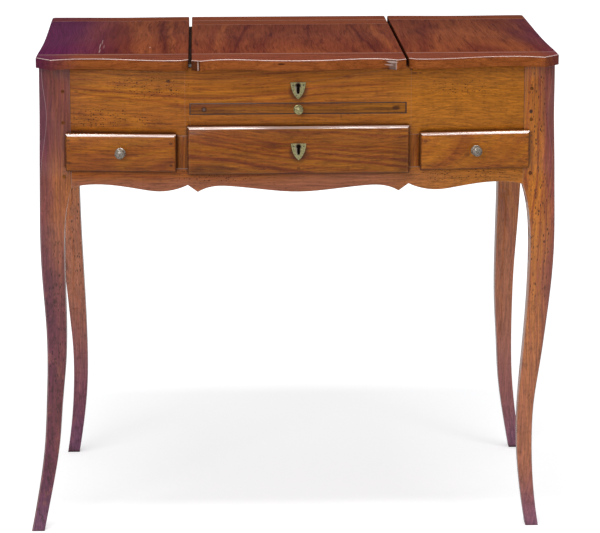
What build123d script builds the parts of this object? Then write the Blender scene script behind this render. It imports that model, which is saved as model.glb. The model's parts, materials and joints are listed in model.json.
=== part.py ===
from build123d import *
import os
from math import sqrt

# A three-lidded dressing table. +X runs to the right of someone who sits at it, +Y to the
# back and +Z up. The origin is on the floor under the middle of the table's whole plan, feet
# and lids included. The pieces are drawn about the middle of the case. Millimetres.

os.makedirs("parts", exist_ok=True)

# ---- Driving dimensions: the whole table ----
TABLE_HEIGHT = 720.0
LID_THICKNESS = 15.0
CASE_WIDTH = 754.0          # over the outer faces of the corner posts
CASE_DEPTH = 430.0          # posts only, front face to back face
POST_SIZE = 44.5
FRONT_BREAK = 14.0          # how far the flat middle of the front stands ahead of the posts
FRONT_FLAT_WIDTH = 330.0    # width of that flat middle
FRONT_THICKNESS = 26.0      # front boards at the flat middle
PANEL_THICKNESS = 18.0      # side and back panels
PARTITION_THICKNESS = 16.0
SKIRT_HEIGHT = 180.0        # case top down to where the legs begin

# ---- Legs ----
LEG_HOLLOW = 10.8           # how far the ankle lies inside the face of the case
# Shares: of the free leg's height, of the hollow (outwards), of the post's size, of the lean
# and of the back legs' inset.
LEG_CURVE = (
    (0.000, 0.52, 0.434, 1.00, 1.00),
    (0.114, -0.34, 0.454, 0.89, 1.00),
    (0.248, -0.93, 0.499, 0.70, 1.00),
    (0.362, -1.00, 0.528, 0.54, 1.00),
    (0.476, -0.75, 0.609, 0.27, 1.00),
    (0.590, -0.42, 0.667, 0.09, 1.00),
    (0.705, 0.01, 0.733, 0.02, 0.96),
    (0.819, 0.28, 0.787, 0.00, 0.82),
    (0.933, 0.27, 0.874, 0.00, 0.42),
)
KNEE_SWELL = 2.5            # sideways bow where the leg meets the case
FRONT_FOOT_LEAN = -19.4     # the front feet have settled this far to the left
BACK_FOOT_LEAN = 8.8        # and the back feet this far to the right
BACK_LEG_INSET = 7.0        # below the case, the back legs stand this far inside the front ones
LEG_ARRIS = 1.5             # softened outer corner of the leg
CANT_REACH = 10.6           # canted outer corner of the post, at its widest
# Shares: of the post's height above the leg, of that reach.
POST_CANT = ((0.20, 0.28), (0.39, 0.71), (0.61, 1.00), (0.80, 0.61), (1.00, 0.38))

# ---- Front, measured down from the case top ----
FRIEZE_HEIGHT = 98.0        # down to the top of the side drawer fronts
SIDE_DRAWER_HEIGHT = 55.0
CENTRE_DRAWER_HEIGHT = 70.1
CENTRE_DRAWER_RISE = 11.4   # the centre front stands this far above the side ones
CENTRE_DRAWER_WIDTH = 324.0
SLOT_DROP = 53.4            # down to the top of the slide's slot
SLOT_HEIGHT = 17.1
SLOT_WIDTH = 317.0
APRON_DEPTH = 23.3          # side drawer fronts down to the apron's edge
STILE_WIDTH = 16.3          # frame seen between two drawer fronts
DRAWER_LAP = 3.0            # drawer fronts overlap the frame, above and below
POST_LAP = 7.4              # and the posts
STILE_LAP = 3.2             # and the stiles, seen from the side drawers
CENTRE_LAP = 5.0            # and from the centre drawer
APRON_SCALLOP = 9.4         # deepest drop of the apron's edge below its straight line
# Shares: of the centre drawer's half width, of the scallop's drop.
APRON_CENTRE_CURVE = ((0.00, 1.00), (0.31, 0.61), (0.60, 0.07), (0.76, 0.05), (0.91, 0.93))
# Shares: of the run from the cusp to the post, of the scallop's drop.
APRON_SIDE_CURVE = ((0.00, -0.20), (0.10, 0.50), (0.24, 0.87), (0.43, 0.48), (0.60, 0.03),
                    (0.90, -0.03), (1.00, 0.34))
SIDE_SCALLOP = 5.0          # deepest drop of a side panel's edge below the leg's top
# Shares: of the half depth between the posts, of that drop.
SIDE_EDGE_CURVE = ((-1.0, -0.2), (-0.6, -0.8), (0.0, 1.0), (0.6, -0.8), (1.0, -0.2))

# ---- Lids ----
CENTRE_LID_WIDTH = 310.0
LID_GAP = 4.3
LID_REST = 2.0              # centre lid's rest on each partition
FRONT_OVERHANG = 28.0       # least overhang of the centre lid's front
BACK_OVERHANG = 6.0
SIDE_OVERHANG = 3.5         # at the front corners
FRONT_BATTEN_JOINT = 35.0   # front batten's joint, back from the flat front of the case
BACK_BATTEN_WIDTH = 50.0
TONGUE = 8.0
TONGUE_THICKNESS = 6.0
LID_ARRIS = 1.6
LID_CORNER_RADIUS = 2.0
LID_BACK_RADIUS = 6.0
LID_SCALLOP = 16.5          # the centre lid's middle stands this far ahead of its hollows
# Shares: of the half width, of the scallop ahead of the hollows.
CENTRE_LID_CURVE = ((0.0, 1.00), (0.335, 0.64), (0.67, 0.0), (0.91, 0.91))
CENTRE_LID_CORNER = 0.36
# Shares: of the flap's width, of the scallop ahead of the centre lid's hollows.
FLAP_CURVE = ((0.044, 0.39), (0.095, 0.48), (0.34, -0.06), (0.57, -0.82), (0.82, -0.61),
              (0.894, -0.18))
FLAP_INNER_CORNER = -0.12
FLAP_OUTER_CORNER = -1.82
FLAP_SIDE_HOLLOW = 3.3      # how far a flap's side edge falls back behind its front corner
# Shares: of the side edge from its front, of that hollow.
FLAP_SIDE_CURVE = ((0.0, 0.0), (0.24, 0.70), (0.57, 1.00), (1.0, 0.61))
FLAP_BACK_HOLLOW = 4.5

# ---- Joinery ----
TENON_LENGTH = 25.0
FRONT_TENON_THICKNESS = 6.0
PANEL_TENON_THICKNESS = 8.0
TENON_SHOULDER = 12.0       # tenons stop this far short of a rail's edges
FRONT_TENON_SET_BACK = 3.0  # front tenon behind the post's face
PEG_RADIUS = 2.7
PEG_LENGTH = 22.0
PEG_INSET = 10.5            # peg centre from the shoulder of the joint
PEG_DROPS = (37.0, 83.0)    # peg heights below the case top
APRON_PEG_DROP = 163.0
GROOVE_DEPTH = 4.0
STUB_TENON = 8.0
STUB_THICKNESS = 8.0
STUB_SHOULDER = 6.0

# ---- Inside ----
WELL_FLOOR_THICKNESS = 5.0
SIDE_WELL_CLEARANCE = 4.0   # side well floor above its drawer's opening
CENTRE_WELL_CLEARANCE = 3.4  # centre well floor above the slide's slot
RUNNER_WIDTH = 12.0
RUNNER_HEIGHT = 10.0
GUIDE_HEIGHT = 25.0
RUNNING_GAP = 0.3           # between a moving piece and what carries it
SIDE_PLAY = 0.5             # each side of a drawer or the slide

# ---- Drawers and slide ----
DRAWER_PROUD = 14.0         # drawer fronts stand ahead of the frame
DRAWER_BEVEL = 3.2
FRONT_BLOCK = 12.0          # part of a drawer front that enters the case, at the posts
SPACE_BEHIND = 32.0         # from the drawer boxes and the slide to the back panel
BOX_SIDE = 8.0
BOX_BACK = 8.0
BOX_FLOOR = 5.0
BOX_FLOOR_LIFT = 6.0
SIDE_LAP = 8.0              # drawer sides let into the front
SLIDE_BOARD_THICKNESS = 12.0
SLIDE_FRONT_THICKNESS = 16.0
SLIDE_RECESS = 1.2          # slide front behind the face of the case

# ---- Brass and iron ----
KNOB_RADIUS = 7.4
SLIDE_KNOB_RADIUS = 6.8
KNOB_PROJECTION = 13.0
KNOB_ROSE_RADIUS = 5.0
KNOB_ROSE_THICKNESS = 1.3
KNOB_NECK_RADIUS = 3.0
KNOB_NECK_START = 3.2       # out from the wood
KNOB_NECK_END = 5.8
# Share of the knob's radius, share of its projection.
KNOB_BULB = ((0.85, 0.53), (1.00, 0.70), (0.75, 0.90), (0.00, 1.00))
KNOB_SHANK = 9.0
KNOB_SHANK_RADIUS = 1.5
KNOB_RISE = 2.0             # side knobs above the middle of their drawer fronts
PLATE_WIDTH = 22.6
PLATE_HEIGHT = 24.6
PLATE_THICKNESS = 1.6
PLATE_PROUD = 0.6
# Share of the plate's half width, share of its height down from the top.
PLATE_SIDE = ((1.00, 0.00), (0.86, 0.33), (0.70, 0.57), (0.42, 0.80), (0.00, 1.00))
KEYHOLE_RADIUS = 2.75
KEYHOLE_SLOT = 3.6
KEYHOLE_LENGTH = 14.5
KEYHOLE_RISE = 3.0          # middle of the keyhole above the middle of the plate
LID_PLATE_DROP = 36.0       # escutcheon centre below the case top
DRAWER_PLATE_RISE = 33.0    # escutcheon centre above the centre drawer's lower edge
LOCK_WIDTH = 50.0
LOCK_THICKNESS = 11.0
LOCK_HEIGHT = 44.0
BOLT_WIDTH = 14.0
BOLT_THICKNESS = 5.0
BOLT_LENGTH = 20.0
BOLT_THROW = 8.0
BOLT_PLAY = 0.3
BOLT_END_GAP = 1.0          # left above a bolt that is thrown
STRIKE_LENGTH = 40.0
STRIKE_WIDTH = 12.0
STRIKE_THICKNESS = 1.5
HINGE_LENGTH = 42.0
HINGE_LEAF = 1.5
HINGE_RADIUS = 2.5
HINGE_LEAF_WIDTH = 15.5     # from the pin's axis
HINGE_OFFSET = 2.8          # pin's axis outside the face of the case
HINGE_GAP = 0.3
PIN_RADIUS = 1.2
PIN_FIT = 0.05
FLAP_HINGE_SPREAD = 110.0   # each hinge of a flap from the middle of the case
LID_HINGE_SPREAD = 92.0     # each hinge of the centre lid from its middle

# ---- Mirror ----
MIRROR_FRAME_WIDTH = 276.0
MIRROR_FRAME_BAR = 22.0
MIRROR_FRAME_DEPTH = 8.0
MIRROR_THICKNESS = 3.0
MIRROR_REBATE = 4.0
MIRROR_FRONT_GAP = 8.0      # frame behind the front batten's joint
MIRROR_BACK_GAP = 8.0       # and ahead of the back battens

# ---- Levels and planes that follow from them, about the middle of the case ----
CASE_TOP = TABLE_HEIGHT - LID_THICKNESS
LEG_TOP = CASE_TOP - SKIRT_HEIGHT
CASE_HALF = CASE_WIDTH / 2
POST_FRONT = -CASE_DEPTH / 2
CASE_BACK = CASE_DEPTH / 2
POST_INNER = CASE_HALF - POST_SIZE
POST_INNER_Y = CASE_DEPTH / 2 - POST_SIZE
FLAT_FRONT = POST_FRONT - FRONT_BREAK
FLAT_HALF = FRONT_FLAT_WIDTH / 2
FRONT_INNER = FLAT_FRONT + FRONT_THICKNESS
PANEL_INNER = CASE_HALF - PANEL_THICKNESS
BACK_INNER = CASE_BACK - PANEL_THICKNESS
CENTRE_LID_HALF = CENTRE_LID_WIDTH / 2
FLAP_INNER = CENTRE_LID_HALF + LID_GAP
PARTITION_INNER = CENTRE_LID_HALF - LID_REST
PARTITION_OUTER = PARTITION_INNER + PARTITION_THICKNESS
REACH = CASE_WIDTH + CASE_DEPTH

SIDE_TOP = CASE_TOP - FRIEZE_HEIGHT
SIDE_BOTTOM = SIDE_TOP - SIDE_DRAWER_HEIGHT
CENTRE_TOP = SIDE_TOP + CENTRE_DRAWER_RISE
CENTRE_BOTTOM = CENTRE_TOP - CENTRE_DRAWER_HEIGHT
CENTRE_HALF = CENTRE_DRAWER_WIDTH / 2
SIDE_START = CENTRE_HALF + STILE_WIDTH
SIDE_END = POST_INNER + POST_LAP
STILE_INNER = CENTRE_HALF - CENTRE_LAP
STILE_OUTER = SIDE_START + STILE_LAP
SIDE_OPENING_TOP = SIDE_TOP - DRAWER_LAP
SIDE_OPENING_BOTTOM = SIDE_BOTTOM + DRAWER_LAP
CENTRE_OPENING_TOP = CENTRE_TOP - DRAWER_LAP
CENTRE_OPENING_BOTTOM = CENTRE_BOTTOM + DRAWER_LAP
APRON_EDGE = SIDE_BOTTOM - APRON_DEPTH
SLOT_TOP = CASE_TOP - SLOT_DROP
SLOT_BOTTOM = SLOT_TOP - SLOT_HEIGHT
SLOT_HALF = SLOT_WIDTH / 2
SIDE_WELL_FLOOR = SIDE_OPENING_TOP + SIDE_WELL_CLEARANCE
CENTRE_WELL_FLOOR = SLOT_TOP + CENTRE_WELL_CLEARANCE
BOX_END = BACK_INNER - SPACE_BEHIND
PARTITION_Z = (APRON_EDGE, CASE_TOP)

LID_HOLLOW_Y = FLAT_FRONT - FRONT_OVERHANG
LID_BACK = CASE_BACK + BACK_OVERHANG
FLAP_OUTER = CASE_HALF + SIDE_OVERHANG
FRONT_JOINT_Y = FLAT_FRONT + FRONT_BATTEN_JOINT
BACK_JOINT_Y = LID_BACK - BACK_BATTEN_WIDTH
INNER_JOINT_Y = BACK_JOINT_Y - BACK_BATTEN_WIDTH
HINGE_X = CASE_HALF + HINGE_OFFSET
HINGE_Y = CASE_BACK + HINGE_OFFSET

FRONT_TENON_Y = POST_FRONT + FRONT_TENON_SET_BACK
SIDE_TENON_X = CASE_HALF - (PANEL_THICKNESS + PANEL_TENON_THICKNESS) / 2
BACK_TENON_Y = CASE_BACK - (PANEL_THICKNESS + PANEL_TENON_THICKNESS) / 2
PEG_X = POST_INNER + PEG_INSET
PEG_Y = POST_INNER_Y + PEG_INSET
APRON_TENON_TOP = SIDE_OPENING_BOTTOM - TENON_SHOULDER / 2
APRON_TENON_BOTTOM = APRON_EDGE + TENON_SHOULDER / 2
FRIEZE_TENON_TOP = CASE_TOP - TENON_SHOULDER
FRIEZE_TENON_BOTTOM = SIDE_OPENING_TOP + TENON_SHOULDER / 2
PANEL_TENON_BOTTOM = LEG_TOP + TENON_SHOULDER

LID_LOCK_Y = (FRONT_INNER - LOCK_THICKNESS, FRONT_INNER)
DRAWER_BLOCK_BACK = POST_FRONT + FRONT_BLOCK
CENTRE_BLOCK_BACK = FLAT_FRONT + FRONT_BLOCK
DRAWER_LOCK_Y = (CENTRE_BLOCK_BACK - LOCK_THICKNESS, CENTRE_BLOCK_BACK)
DRAWER_LOCK_TOP = CENTRE_OPENING_TOP - SIDE_PLAY
MORTISE_DEPTH = BOLT_THROW + BOLT_END_GAP

# Where the middle of the case lies from the middle of the plan: the left front and right
# back feet reach furthest to the sides, the lids furthest to the front and back.
CASE_PLACE = Location((-(FRONT_FOOT_LEAN + BACK_FOOT_LEAN - BACK_LEG_INSET) / 2,
                       -(LID_HOLLOW_Y - LID_SCALLOP + LID_BACK) / 2, 0))


def block(x, y, z, mode=Mode.ADD):
    """A box between the two limits given for each axis, in the part being built."""
    with Locations((sum(x) / 2, sum(y) / 2, sum(z) / 2)):
        Box(x[1] - x[0], y[1] - y[0], z[1] - z[0], mode=mode)


def span(side, near, far):
    """Limits along X of something that lies between near and far on one side."""
    return (near, far) if side > 0 else (-far, -near)


def finish(piece, name):
    """Label a finished piece, put it in its place in the table and write it."""
    piece.part.label = name
    piece.part.locate(CASE_PLACE)
    export_step(piece.part, f"parts/{name}.step")


def front_y(x):
    """Y of the front face of the case: flat in the middle, canted back to the posts."""
    slope = FRONT_BREAK / (POST_INNER - FLAT_HALF)
    return FLAT_FRONT + max(0.0, min(abs(x), POST_INNER) - FLAT_HALF) * slope


def slanted_y(x):
    """The canted stretch of the front, carried on past the post."""
    return FLAT_FRONT + (abs(x) - FLAT_HALF) * FRONT_BREAK / (POST_INNER - FLAT_HALF)


def front_plan():
    """Plan of a full-width front board between the posts."""
    with BuildLine() as outline:
        Polyline((-POST_INNER, POST_FRONT), (-FLAT_HALF, FLAT_FRONT), (FLAT_HALF, FLAT_FRONT),
                 (POST_INNER, POST_FRONT), (POST_INNER, FRONT_INNER),
                 (-POST_INNER, FRONT_INNER), close=True)
    make_face(outline.edges())


def keyhole(z, face_y, depth, mode=Mode.SUBTRACT):
    """A keyhole that goes back from face_y, with its round at the top."""
    with BuildSketch(Plane.XZ.offset(-face_y)) as hole:
        with Locations((0, z + KEYHOLE_LENGTH / 2 - KEYHOLE_RADIUS)):
            Circle(KEYHOLE_RADIUS)
        with Locations((0, z - KEYHOLE_RADIUS / 2)):
            Rectangle(KEYHOLE_SLOT, KEYHOLE_LENGTH - KEYHOLE_RADIUS)
    extrude(hole.sketch, amount=-depth, mode=mode)


def shield(z, face_y, depth, mode=Mode.ADD):
    """A shield outline with a straight top and bowed sides that meet in a point."""
    top = z + PLATE_HEIGHT / 2
    edge = [(share * PLATE_WIDTH / 2, top - fall * PLATE_HEIGHT) for share, fall in PLATE_SIDE]
    mirrored = [(-x, height) for x, height in edge]
    with BuildSketch(Plane.XZ.offset(-face_y)) as plate:
        with BuildLine():
            Spline(*edge)
            Spline(*reversed(mirrored))
            Line(mirrored[0], edge[0])
        make_face()
    extrude(plate.sketch, amount=-depth, mode=mode)


# ---- Tenons, and the mortises that take them ----

def front_tenons(side):
    """Limits of the tenons that the frieze and the apron have at one end."""
    x = span(side, POST_INNER, POST_INNER + TENON_LENGTH)
    y = (FRONT_TENON_Y, FRONT_TENON_Y + FRONT_TENON_THICKNESS)
    return {"frieze": (x, y, (FRIEZE_TENON_BOTTOM, FRIEZE_TENON_TOP)),
            "apron": (x, y, (APRON_TENON_BOTTOM, APRON_TENON_TOP))}


def side_tenon(side, end):
    x = span(side, SIDE_TENON_X, SIDE_TENON_X + PANEL_TENON_THICKNESS)
    y = span(end, POST_INNER_Y, POST_INNER_Y + TENON_LENGTH)
    return (x, y, (PANEL_TENON_BOTTOM, FRIEZE_TENON_TOP))


def back_tenon(side):
    x = span(side, POST_INNER, POST_INNER + TENON_LENGTH)
    y = (BACK_TENON_Y, BACK_TENON_Y + PANEL_TENON_THICKNESS)
    return (x, y, (PANEL_TENON_BOTTOM, FRIEZE_TENON_TOP))


def pegs(side, end, mode=Mode.ADD):
    """The wooden pegs that pin the joints of one post."""
    drops = PEG_DROPS + ((APRON_PEG_DROP,) if end < 0 else ())
    face = end * CASE_DEPTH / 2
    for drop in drops:
        with BuildSketch(Plane.XZ.offset(-face)) as peg:
            with Locations((side * PEG_X, CASE_TOP - drop)):
                Circle(PEG_RADIUS)
        extrude(peg.sketch, amount=end * PEG_LENGTH, mode=mode)
    for drop in PEG_DROPS:
        with BuildSketch(Plane.YZ.offset(side * CASE_HALF)) as peg:
            with Locations((end * PEG_Y, CASE_TOP - drop)):
                Circle(PEG_RADIUS)
        extrude(peg.sketch, amount=-side * PEG_LENGTH, mode=mode)


# ---- Legs: one square post each, sawn to a curve on two faces ----

def leg_edges(half, swell, lean, inset):
    """Outer and inner edge of a leg in one view, as distances from the middle, floor up."""
    outer = []
    inner = []
    for share, bow, thickness, settled, drawn_in in LEG_CURVE:
        reach = half + bow * LEG_HOLLOW + lean * settled - inset * drawn_in
        outer.append((reach, share * LEG_TOP))
        inner.append((reach - thickness * POST_SIZE, share * LEG_TOP))
    inner.append((half - POST_SIZE, LEG_TOP))
    outer.append((half + swell, LEG_TOP))
    first = POST_CANT[0][0]
    outer.append((half + swell * (1 - first), LEG_TOP + first * SKIRT_HEIGHT))
    return outer, inner


def leg_view(sign, edges, half):
    """Face of the leg seen along X or Y, straight on the post."""
    outer = [(sign * reach, z) for reach, z in edges[0]]
    inner = [(sign * reach, z) for reach, z in edges[1]]
    with BuildLine() as outline:
        Spline(*outer)
        Polyline(outer[-1], (sign * half, CASE_TOP), (sign * (half - POST_SIZE), CASE_TOP),
                 inner[-1])
        Spline(*reversed(inner))
        Line(inner[0], outer[0])
    make_face(outline.edges())


def make_leg(name, side, end, lean, inset):
    x_edges = leg_edges(CASE_HALF, KNEE_SWELL, side * lean, inset)
    y_edges = leg_edges(CASE_DEPTH / 2, 0, 0, 0)
    diagonal = Plane(origin=(0, 0, 0), x_dir=(side, end, 0), z_dir=(end, -side, 0))
    canted = [((x + y - LEG_ARRIS) / sqrt(2), z)
              for (x, z), (y, height) in zip(x_edges[0][:-1], y_edges[0][:-1])]
    for share, cant in POST_CANT:
        reach = CASE_HALF + KNEE_SWELL * (1 - share) + CASE_DEPTH / 2
        canted.append(((reach - cant * CANT_REACH) / sqrt(2), LEG_TOP + share * SKIRT_HEIGHT))
    with BuildPart() as leg:
        with BuildSketch(Plane.XZ):
            leg_view(side, x_edges, CASE_HALF)
        extrude(amount=REACH, both=True)
        with BuildSketch(Plane.YZ):
            leg_view(end, y_edges, CASE_DEPTH / 2)
        extrude(amount=REACH, both=True, mode=Mode.INTERSECT)
        with BuildSketch(diagonal):
            with BuildLine():
                Spline(*canted)
                Polyline(canted[-1], (0, CASE_TOP), (0, 0), canted[0])
            make_face()
        extrude(amount=REACH, both=True, mode=Mode.INTERSECT)
        block(*side_tenon(side, end), mode=Mode.SUBTRACT)
        if end < 0:
            for tenon in front_tenons(side).values():
                block(*tenon, mode=Mode.SUBTRACT)
        else:
            block(*back_tenon(side), mode=Mode.SUBTRACT)
        pegs(side, end, mode=Mode.SUBTRACT)
    finish(leg, name)


make_leg("leg_front_left", -1, -1, FRONT_FOOT_LEAN, 0)
make_leg("leg_front_right", 1, -1, FRONT_FOOT_LEAN, 0)
make_leg("leg_back_left", -1, 1, BACK_FOOT_LEAN, BACK_LEG_INSET)
make_leg("leg_back_right", 1, 1, BACK_FOOT_LEAN, BACK_LEG_INSET)

with BuildPart() as joint_pegs:
    for side in (-1, 1):
        for end in (-1, 1):
            pegs(side, end)
finish(joint_pegs, "joint_pegs")


# ---- Front: frieze board, two stiles and the shaped apron ----

def well_floor(x, z, mode=Mode.ADD):
    """A well's floor, let into the boards around it on every side."""
    block(x, (FRONT_INNER - GROOVE_DEPTH, BACK_INNER + GROOVE_DEPTH),
          (z, z + WELL_FLOOR_THICKNESS), mode)


def centre_well_floor(mode=Mode.ADD):
    half = PARTITION_INNER + GROOVE_DEPTH
    well_floor((-half, half), CENTRE_WELL_FLOOR, mode)


def side_well_floor(side, mode=Mode.ADD):
    x = span(side, PARTITION_OUTER - GROOVE_DEPTH, PANEL_INNER + GROOVE_DEPTH)
    well_floor(x, SIDE_WELL_FLOOR, mode)


def lock_body(y, top, mode=Mode.ADD):
    block((-LOCK_WIDTH / 2, LOCK_WIDTH / 2), y, (top - LOCK_HEIGHT, top), mode)


def bolt_limits(y, top, play=0.0):
    """Limits of a lock's bolt, drawn back flush with the top of the lock."""
    middle = sum(y) / 2
    return ((-BOLT_WIDTH / 2 - play, BOLT_WIDTH / 2 + play),
            (middle - BOLT_THICKNESS / 2 - play, middle + BOLT_THICKNESS / 2 + play),
            (top - BOLT_PLAY - BOLT_LENGTH, top - BOLT_PLAY))


def stile_tenon(side, z):
    middle = (FLAT_FRONT + FRONT_INNER) / 2
    x = span(side, STILE_INNER + STUB_SHOULDER, STILE_OUTER - STUB_SHOULDER)
    return (x, (middle - STUB_THICKNESS / 2, middle + STUB_THICKNESS / 2), z)


with BuildPart() as front_panel:
    with BuildSketch(Plane.XY.offset(SIDE_OPENING_TOP)):
        front_plan()
    extrude(amount=CASE_TOP - SIDE_OPENING_TOP)
    block((-STILE_INNER, STILE_INNER), (FLAT_FRONT, FRONT_INNER),
          (SIDE_OPENING_TOP, CENTRE_OPENING_TOP), Mode.SUBTRACT)
    block((-SLOT_HALF, SLOT_HALF), (FLAT_FRONT, FRONT_INNER), (SLOT_BOTTOM, SLOT_TOP),
          Mode.SUBTRACT)
    centre_well_floor(Mode.SUBTRACT)
    lock_body(LID_LOCK_Y, CASE_TOP, Mode.SUBTRACT)
    shield(CASE_TOP - LID_PLATE_DROP, FLAT_FRONT, PLATE_THICKNESS - PLATE_PROUD,
           Mode.SUBTRACT)
    keyhole(CASE_TOP - LID_PLATE_DROP + KEYHOLE_RISE, FLAT_FRONT, FRONT_THICKNESS)
    bolt = bolt_limits(DRAWER_LOCK_Y, DRAWER_LOCK_TOP, BOLT_PLAY)
    block(bolt[0], bolt[1], (CENTRE_OPENING_TOP, CENTRE_OPENING_TOP + MORTISE_DEPTH),
          Mode.SUBTRACT)
    for side in (-1, 1):
        side_well_floor(side, Mode.SUBTRACT)
        block(*front_tenons(side)["frieze"])
        pegs(side, -1, mode=Mode.SUBTRACT)
        block(*stile_tenon(side, (SIDE_OPENING_TOP, SIDE_OPENING_TOP + STUB_TENON)),
              mode=Mode.SUBTRACT)
finish(front_panel, "front_panel")


def apron_edge():
    """Lower edge of the apron from one post to the other."""
    centre = [(share * CENTRE_HALF, APRON_EDGE - drop * APRON_SCALLOP)
              for share, drop in APRON_CENTRE_CURVE]
    run = POST_INNER - CENTRE_HALF
    outer = [(CENTRE_HALF + share * run, APRON_EDGE - drop * APRON_SCALLOP)
             for share, drop in APRON_SIDE_CURVE]
    mirrored = [(-x, z) for x, z in reversed(centre[1:])]
    Spline(*(mirrored + centre))
    for side in (-1, 1):
        Line((side * centre[-1][0], centre[-1][1]), (side * outer[0][0], outer[0][1]))
        Spline(*[(side * x, z) for x, z in outer])
        Polyline((side * outer[-1][0], outer[-1][1]), (side * POST_INNER, SIDE_OPENING_BOTTOM),
                 (side * STILE_INNER, SIDE_OPENING_BOTTOM),
                 (side * STILE_INNER, CENTRE_OPENING_BOTTOM))
    Line((-STILE_INNER, CENTRE_OPENING_BOTTOM), (STILE_INNER, CENTRE_OPENING_BOTTOM))


with BuildPart() as front_apron:
    with BuildSketch(Plane.XZ):
        with BuildLine():
            apron_edge()
        make_face()
    extrude(amount=REACH, both=True)
    with BuildSketch(Plane.XY):
        front_plan()
    extrude(amount=TABLE_HEIGHT, mode=Mode.INTERSECT)
    for side in (-1, 1):
        block(*front_tenons(side)["apron"])
        pegs(side, -1, mode=Mode.SUBTRACT)
        block(*stile_tenon(side, (SIDE_OPENING_BOTTOM - STUB_TENON, SIDE_OPENING_BOTTOM)),
              mode=Mode.SUBTRACT)
finish(front_apron, "front_apron")

for side, name in ((-1, "drawer_divider_left"), (1, "drawer_divider_right")):
    with BuildPart() as divider:
        with BuildSketch(Plane.XY.offset(SIDE_OPENING_BOTTOM)):
            with BuildLine():
                Polyline((side * STILE_INNER, FLAT_FRONT), (side * FLAT_HALF, FLAT_FRONT),
                         (side * STILE_OUTER, front_y(STILE_OUTER)),
                         (side * STILE_OUTER, FRONT_INNER),
                         (side * STILE_INNER, FRONT_INNER), close=True)
            make_face()
        extrude(amount=SIDE_OPENING_TOP - SIDE_OPENING_BOTTOM)
        block(*stile_tenon(side, (SIDE_OPENING_TOP, SIDE_OPENING_TOP + STUB_TENON)))
        block(*stile_tenon(side, (SIDE_OPENING_BOTTOM - STUB_TENON, SIDE_OPENING_BOTTOM)))
    finish(divider, name)


# ---- Side and back panels ----

def hinge_centres():
    """Every hinge: which lid, its plane's side (0 for the back), distance along the pin."""
    rows = [("left_flap", -1, end * FLAP_HINGE_SPREAD) for end in (-1, 1)]
    rows += [("right_flap", 1, end * FLAP_HINGE_SPREAD) for end in (-1, 1)]
    rows += [("centre_lid", 0, end * LID_HINGE_SPREAD) for end in (-1, 1)]
    return rows


def along(side, across, length, z, mode=Mode.ADD):
    """A box beside a hinge's pin: across runs from the pin into the case."""
    if side == 0:
        block(length, (HINGE_Y - across[1], HINGE_Y - across[0]), z, mode)
    else:
        block(span(side, HINGE_X - across[1], HINGE_X - across[0]), length, z, mode)


def hinge_seat(side, centre, z, mode=Mode.SUBTRACT):
    """The shallow recess that takes one leaf."""
    half = HINGE_LENGTH / 2
    along(side, (0, HINGE_LEAF_WIDTH), (centre - half, centre + half), z, mode)


CASE_LEAF_Z = (CASE_TOP - HINGE_LEAF, CASE_TOP)
LID_LEAF_Z = (CASE_TOP, CASE_TOP + HINGE_LEAF)

for side, name in ((-1, "side_panel_left"), (1, "side_panel_right")):
    with BuildPart() as side_panel:
        with BuildSketch(Plane.YZ.offset(side * CASE_HALF)):
            edge = [(share * POST_INNER_Y, LEG_TOP - drop * SIDE_SCALLOP)
                    for share, drop in SIDE_EDGE_CURVE]
            with BuildLine():
                Spline(*edge)
                Polyline(edge[-1], (POST_INNER_Y, CASE_TOP), (-POST_INNER_Y, CASE_TOP), edge[0])
            make_face()
        extrude(amount=-side * PANEL_THICKNESS)
        for end in (-1, 1):
            block(*side_tenon(side, end))
            pegs(side, end, mode=Mode.SUBTRACT)
        side_well_floor(side, Mode.SUBTRACT)
        for lid, hinge_side, centre in hinge_centres():
            if hinge_side == side:
                hinge_seat(side, centre, CASE_LEAF_Z)
    finish(side_panel, name)

with BuildPart() as back_panel:
    block((-POST_INNER, POST_INNER), (BACK_INNER, CASE_BACK), (LEG_TOP, CASE_TOP))
    for side in (-1, 1):
        block(*back_tenon(side))
        pegs(side, 1, mode=Mode.SUBTRACT)
        side_well_floor(side, Mode.SUBTRACT)
        block(span(side, PARTITION_INNER, PARTITION_OUTER),
              (BACK_INNER, BACK_INNER + GROOVE_DEPTH), PARTITION_Z, Mode.SUBTRACT)
    centre_well_floor(Mode.SUBTRACT)
    for lid, hinge_side, centre in hinge_centres():
        if hinge_side == 0:
            hinge_seat(0, centre, CASE_LEAF_Z)
finish(back_panel, "back_panel")


# ---- Partitions and well floors ----

for side, name in ((-1, "partition_left"), (1, "partition_right")):
    with BuildPart() as partition:
        block(span(side, PARTITION_INNER, PARTITION_OUTER),
              (FRONT_INNER, BACK_INNER + GROOVE_DEPTH), PARTITION_Z)
        centre_well_floor(Mode.SUBTRACT)
        side_well_floor(side, Mode.SUBTRACT)
    finish(partition, name)

for side, name in ((-1, "left_well_floor"), (1, "right_well_floor")):
    with BuildPart() as floor:
        side_well_floor(side)
        for end in (-1, 1):
            block(span(side, POST_INNER, CASE_HALF), span(end, POST_INNER_Y, CASE_BACK),
                  (SIDE_WELL_FLOOR, SIDE_WELL_FLOOR + WELL_FLOOR_THICKNESS), Mode.SUBTRACT)
    finish(floor, name)

with BuildPart() as centre_floor:
    centre_well_floor()
finish(centre_floor, "centre_well_floor")


# ---- Runners for the drawers and the slide ----

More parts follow.
